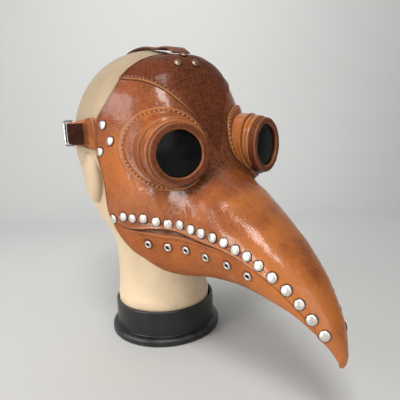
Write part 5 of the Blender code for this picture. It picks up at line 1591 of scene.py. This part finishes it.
# ---- crown strap
def crown_point(ang, lift):
    ct, st = math.cos(SKULL_TILT), math.sin(SKULL_TILT)
    d = np.array([-math.cos(ang), math.sin(ang)])
    a = (d[0] * ct + d[1] * st) / SKULL[1]
    b = (-d[0] * st + d[1] * ct) / SKULL[2]
    r = 1 / math.sqrt(a * a + b * b)
    y, z = SKULL_C[0] + d[0] * r, SKULL_C[1] + d[1] * r
    g = np.array([ct * a / SKULL[1] - st * b / SKULL[2], st * a / SKULL[1] + ct * b / SKULL[2]])
    g /= np.linalg.norm(g)
    return np.array([0, y + g[0] * lift, z + g[1] * lift]), np.array([0, g[0], g[1]])


P, N = [], []
for k in range(181):
    f = k / 180
    ang = math.radians(54.0 + (172.0 - 54.0) * f)
    lift = 0.80 + (0.12 - 0.80) * float(smooth(f, 0.04, 0.18)) if f < 0.5 else \
        0.12 + (0.50 - 0.12) * float(smooth(f, 0.78, 0.93))
    p, n = crown_point(ang, lift + 0.10)
    P.append(p)
    N.append(n)
A = np.tile(np.array([1.0, 0, 0]), (181, 1))
strap_crown = place(strap_mesh("strap_crown", np.array(P), A, np.array(N), 2.1, 0.20, mat_crown, 81, crease=0.014),
                    "dark_strap_leather", "crown_strap")


# ================================================================ stage
def stage_material():
    k = Nodes("studio_paper")
    k.p.inputs["Specular IOR Level"].default_value = 0.15
    fine = k.noise(300.0, 3.0)
    col = k.mix(k.span(fine, 0.3, 0.7, 0.0, 0.04), (0.64, 0.645, 0.635), (0.4, 0.4, 0.4))
    return k.done(col, k.span(fine, 0.3, 0.7, 0.75, 0.9), k.bump(fine, 0.0001, 0.2))


def build_stage():
    """Floor that curves up into a backdrop on the far side."""
    ahead = np.array([0.60, 0.80, 0.0])
    right = np.array([0.80, -0.60, 0.0])
    prof = [(-3.0, 0.0), (-1.0, 0.0), (0.0, 0.0), (0.45, 0.0)]
    R = 0.35
    for k in range(1, 17):
        a = math.pi / 2 * k / 16
        prof.append((0.45 + R * math.sin(a), R - R * math.cos(a)))
    prof += [(0.8, 0.8), (0.8, 1.6)]
    w = np.linspace(-4.0, 4.0, 9)
    verts = [ahead * y + right * x + np.array([0, 0, z - 0.0002]) for y, z in prof for x in w]
    me = bpy.data.meshes.new("studio_floor")
    me.from_pydata([tuple(v) for v in verts], [], grid_faces(len(prof), len(w)))
    ob = link("studio_floor", me, stage_material())
    me.shade_smooth()
    bm = bmesh.new()
    bm.from_mesh(me)
    bmesh.ops.recalc_face_normals(bm, faces=bm.faces)
    bm.to_mesh(me)
    bm.free()


build_stage()


def area_light(name, where, target, size, power, colour):
    data = bpy.data.lights.new(name, 'AREA')
    data.shape = 'RECTANGLE'
    data.size, data.size_y = size
    data.energy = power
    data.color = colour
    ob = bpy.data.objects.new(name, data)
    bpy.context.scene.collection.objects.link(ob)
    d = Vector(target) - Vector(where)
    ob.rotation_euler = d.to_track_quat('-Z', 'Y').to_euler()
    ob.location = where
    return ob


area_light("key", (-1.14, -0.08, 0.33), (0, -0.06, 0.16), (0.42, 0.42), 6.4, (1.0, 0.985, 0.96))
area_light("top", (-0.36, -0.50, 1.00), (0, -0.12, 0.12), (0.36, 0.36), 6.2, (1.0, 0.99, 0.97))
area_light("side", (-0.86, 0.34, 0.72), (-0.04, 0.0, 0.24), (0.50, 0.34), 2.6, (1.0, 0.98, 0.97))
area_light("fill", (-0.55, -1.40, 0.60), (0, -0.10, 0.14), (1.0, 1.0), 5.6, (1.0, 0.985, 0.96))
area_light("back_wash", (0.10, 0.10, 0.70), (0.60, 0.66, 0.30), (0.6, 0.4), 2.2, (1.0, 1.0, 1.0))

world = bpy.data.worlds.new("studio")
bpy.context.scene.world = world
world.use_nodes = True
world.node_tree.nodes["Background"].inputs["Color"].default_value = (0.86, 0.89, 0.93, 1.0)
world.node_tree.nodes["Background"].inputs["Strength"].default_value = 0.16
bpy.context.scene.view_settings.view_transform = 'Standard'
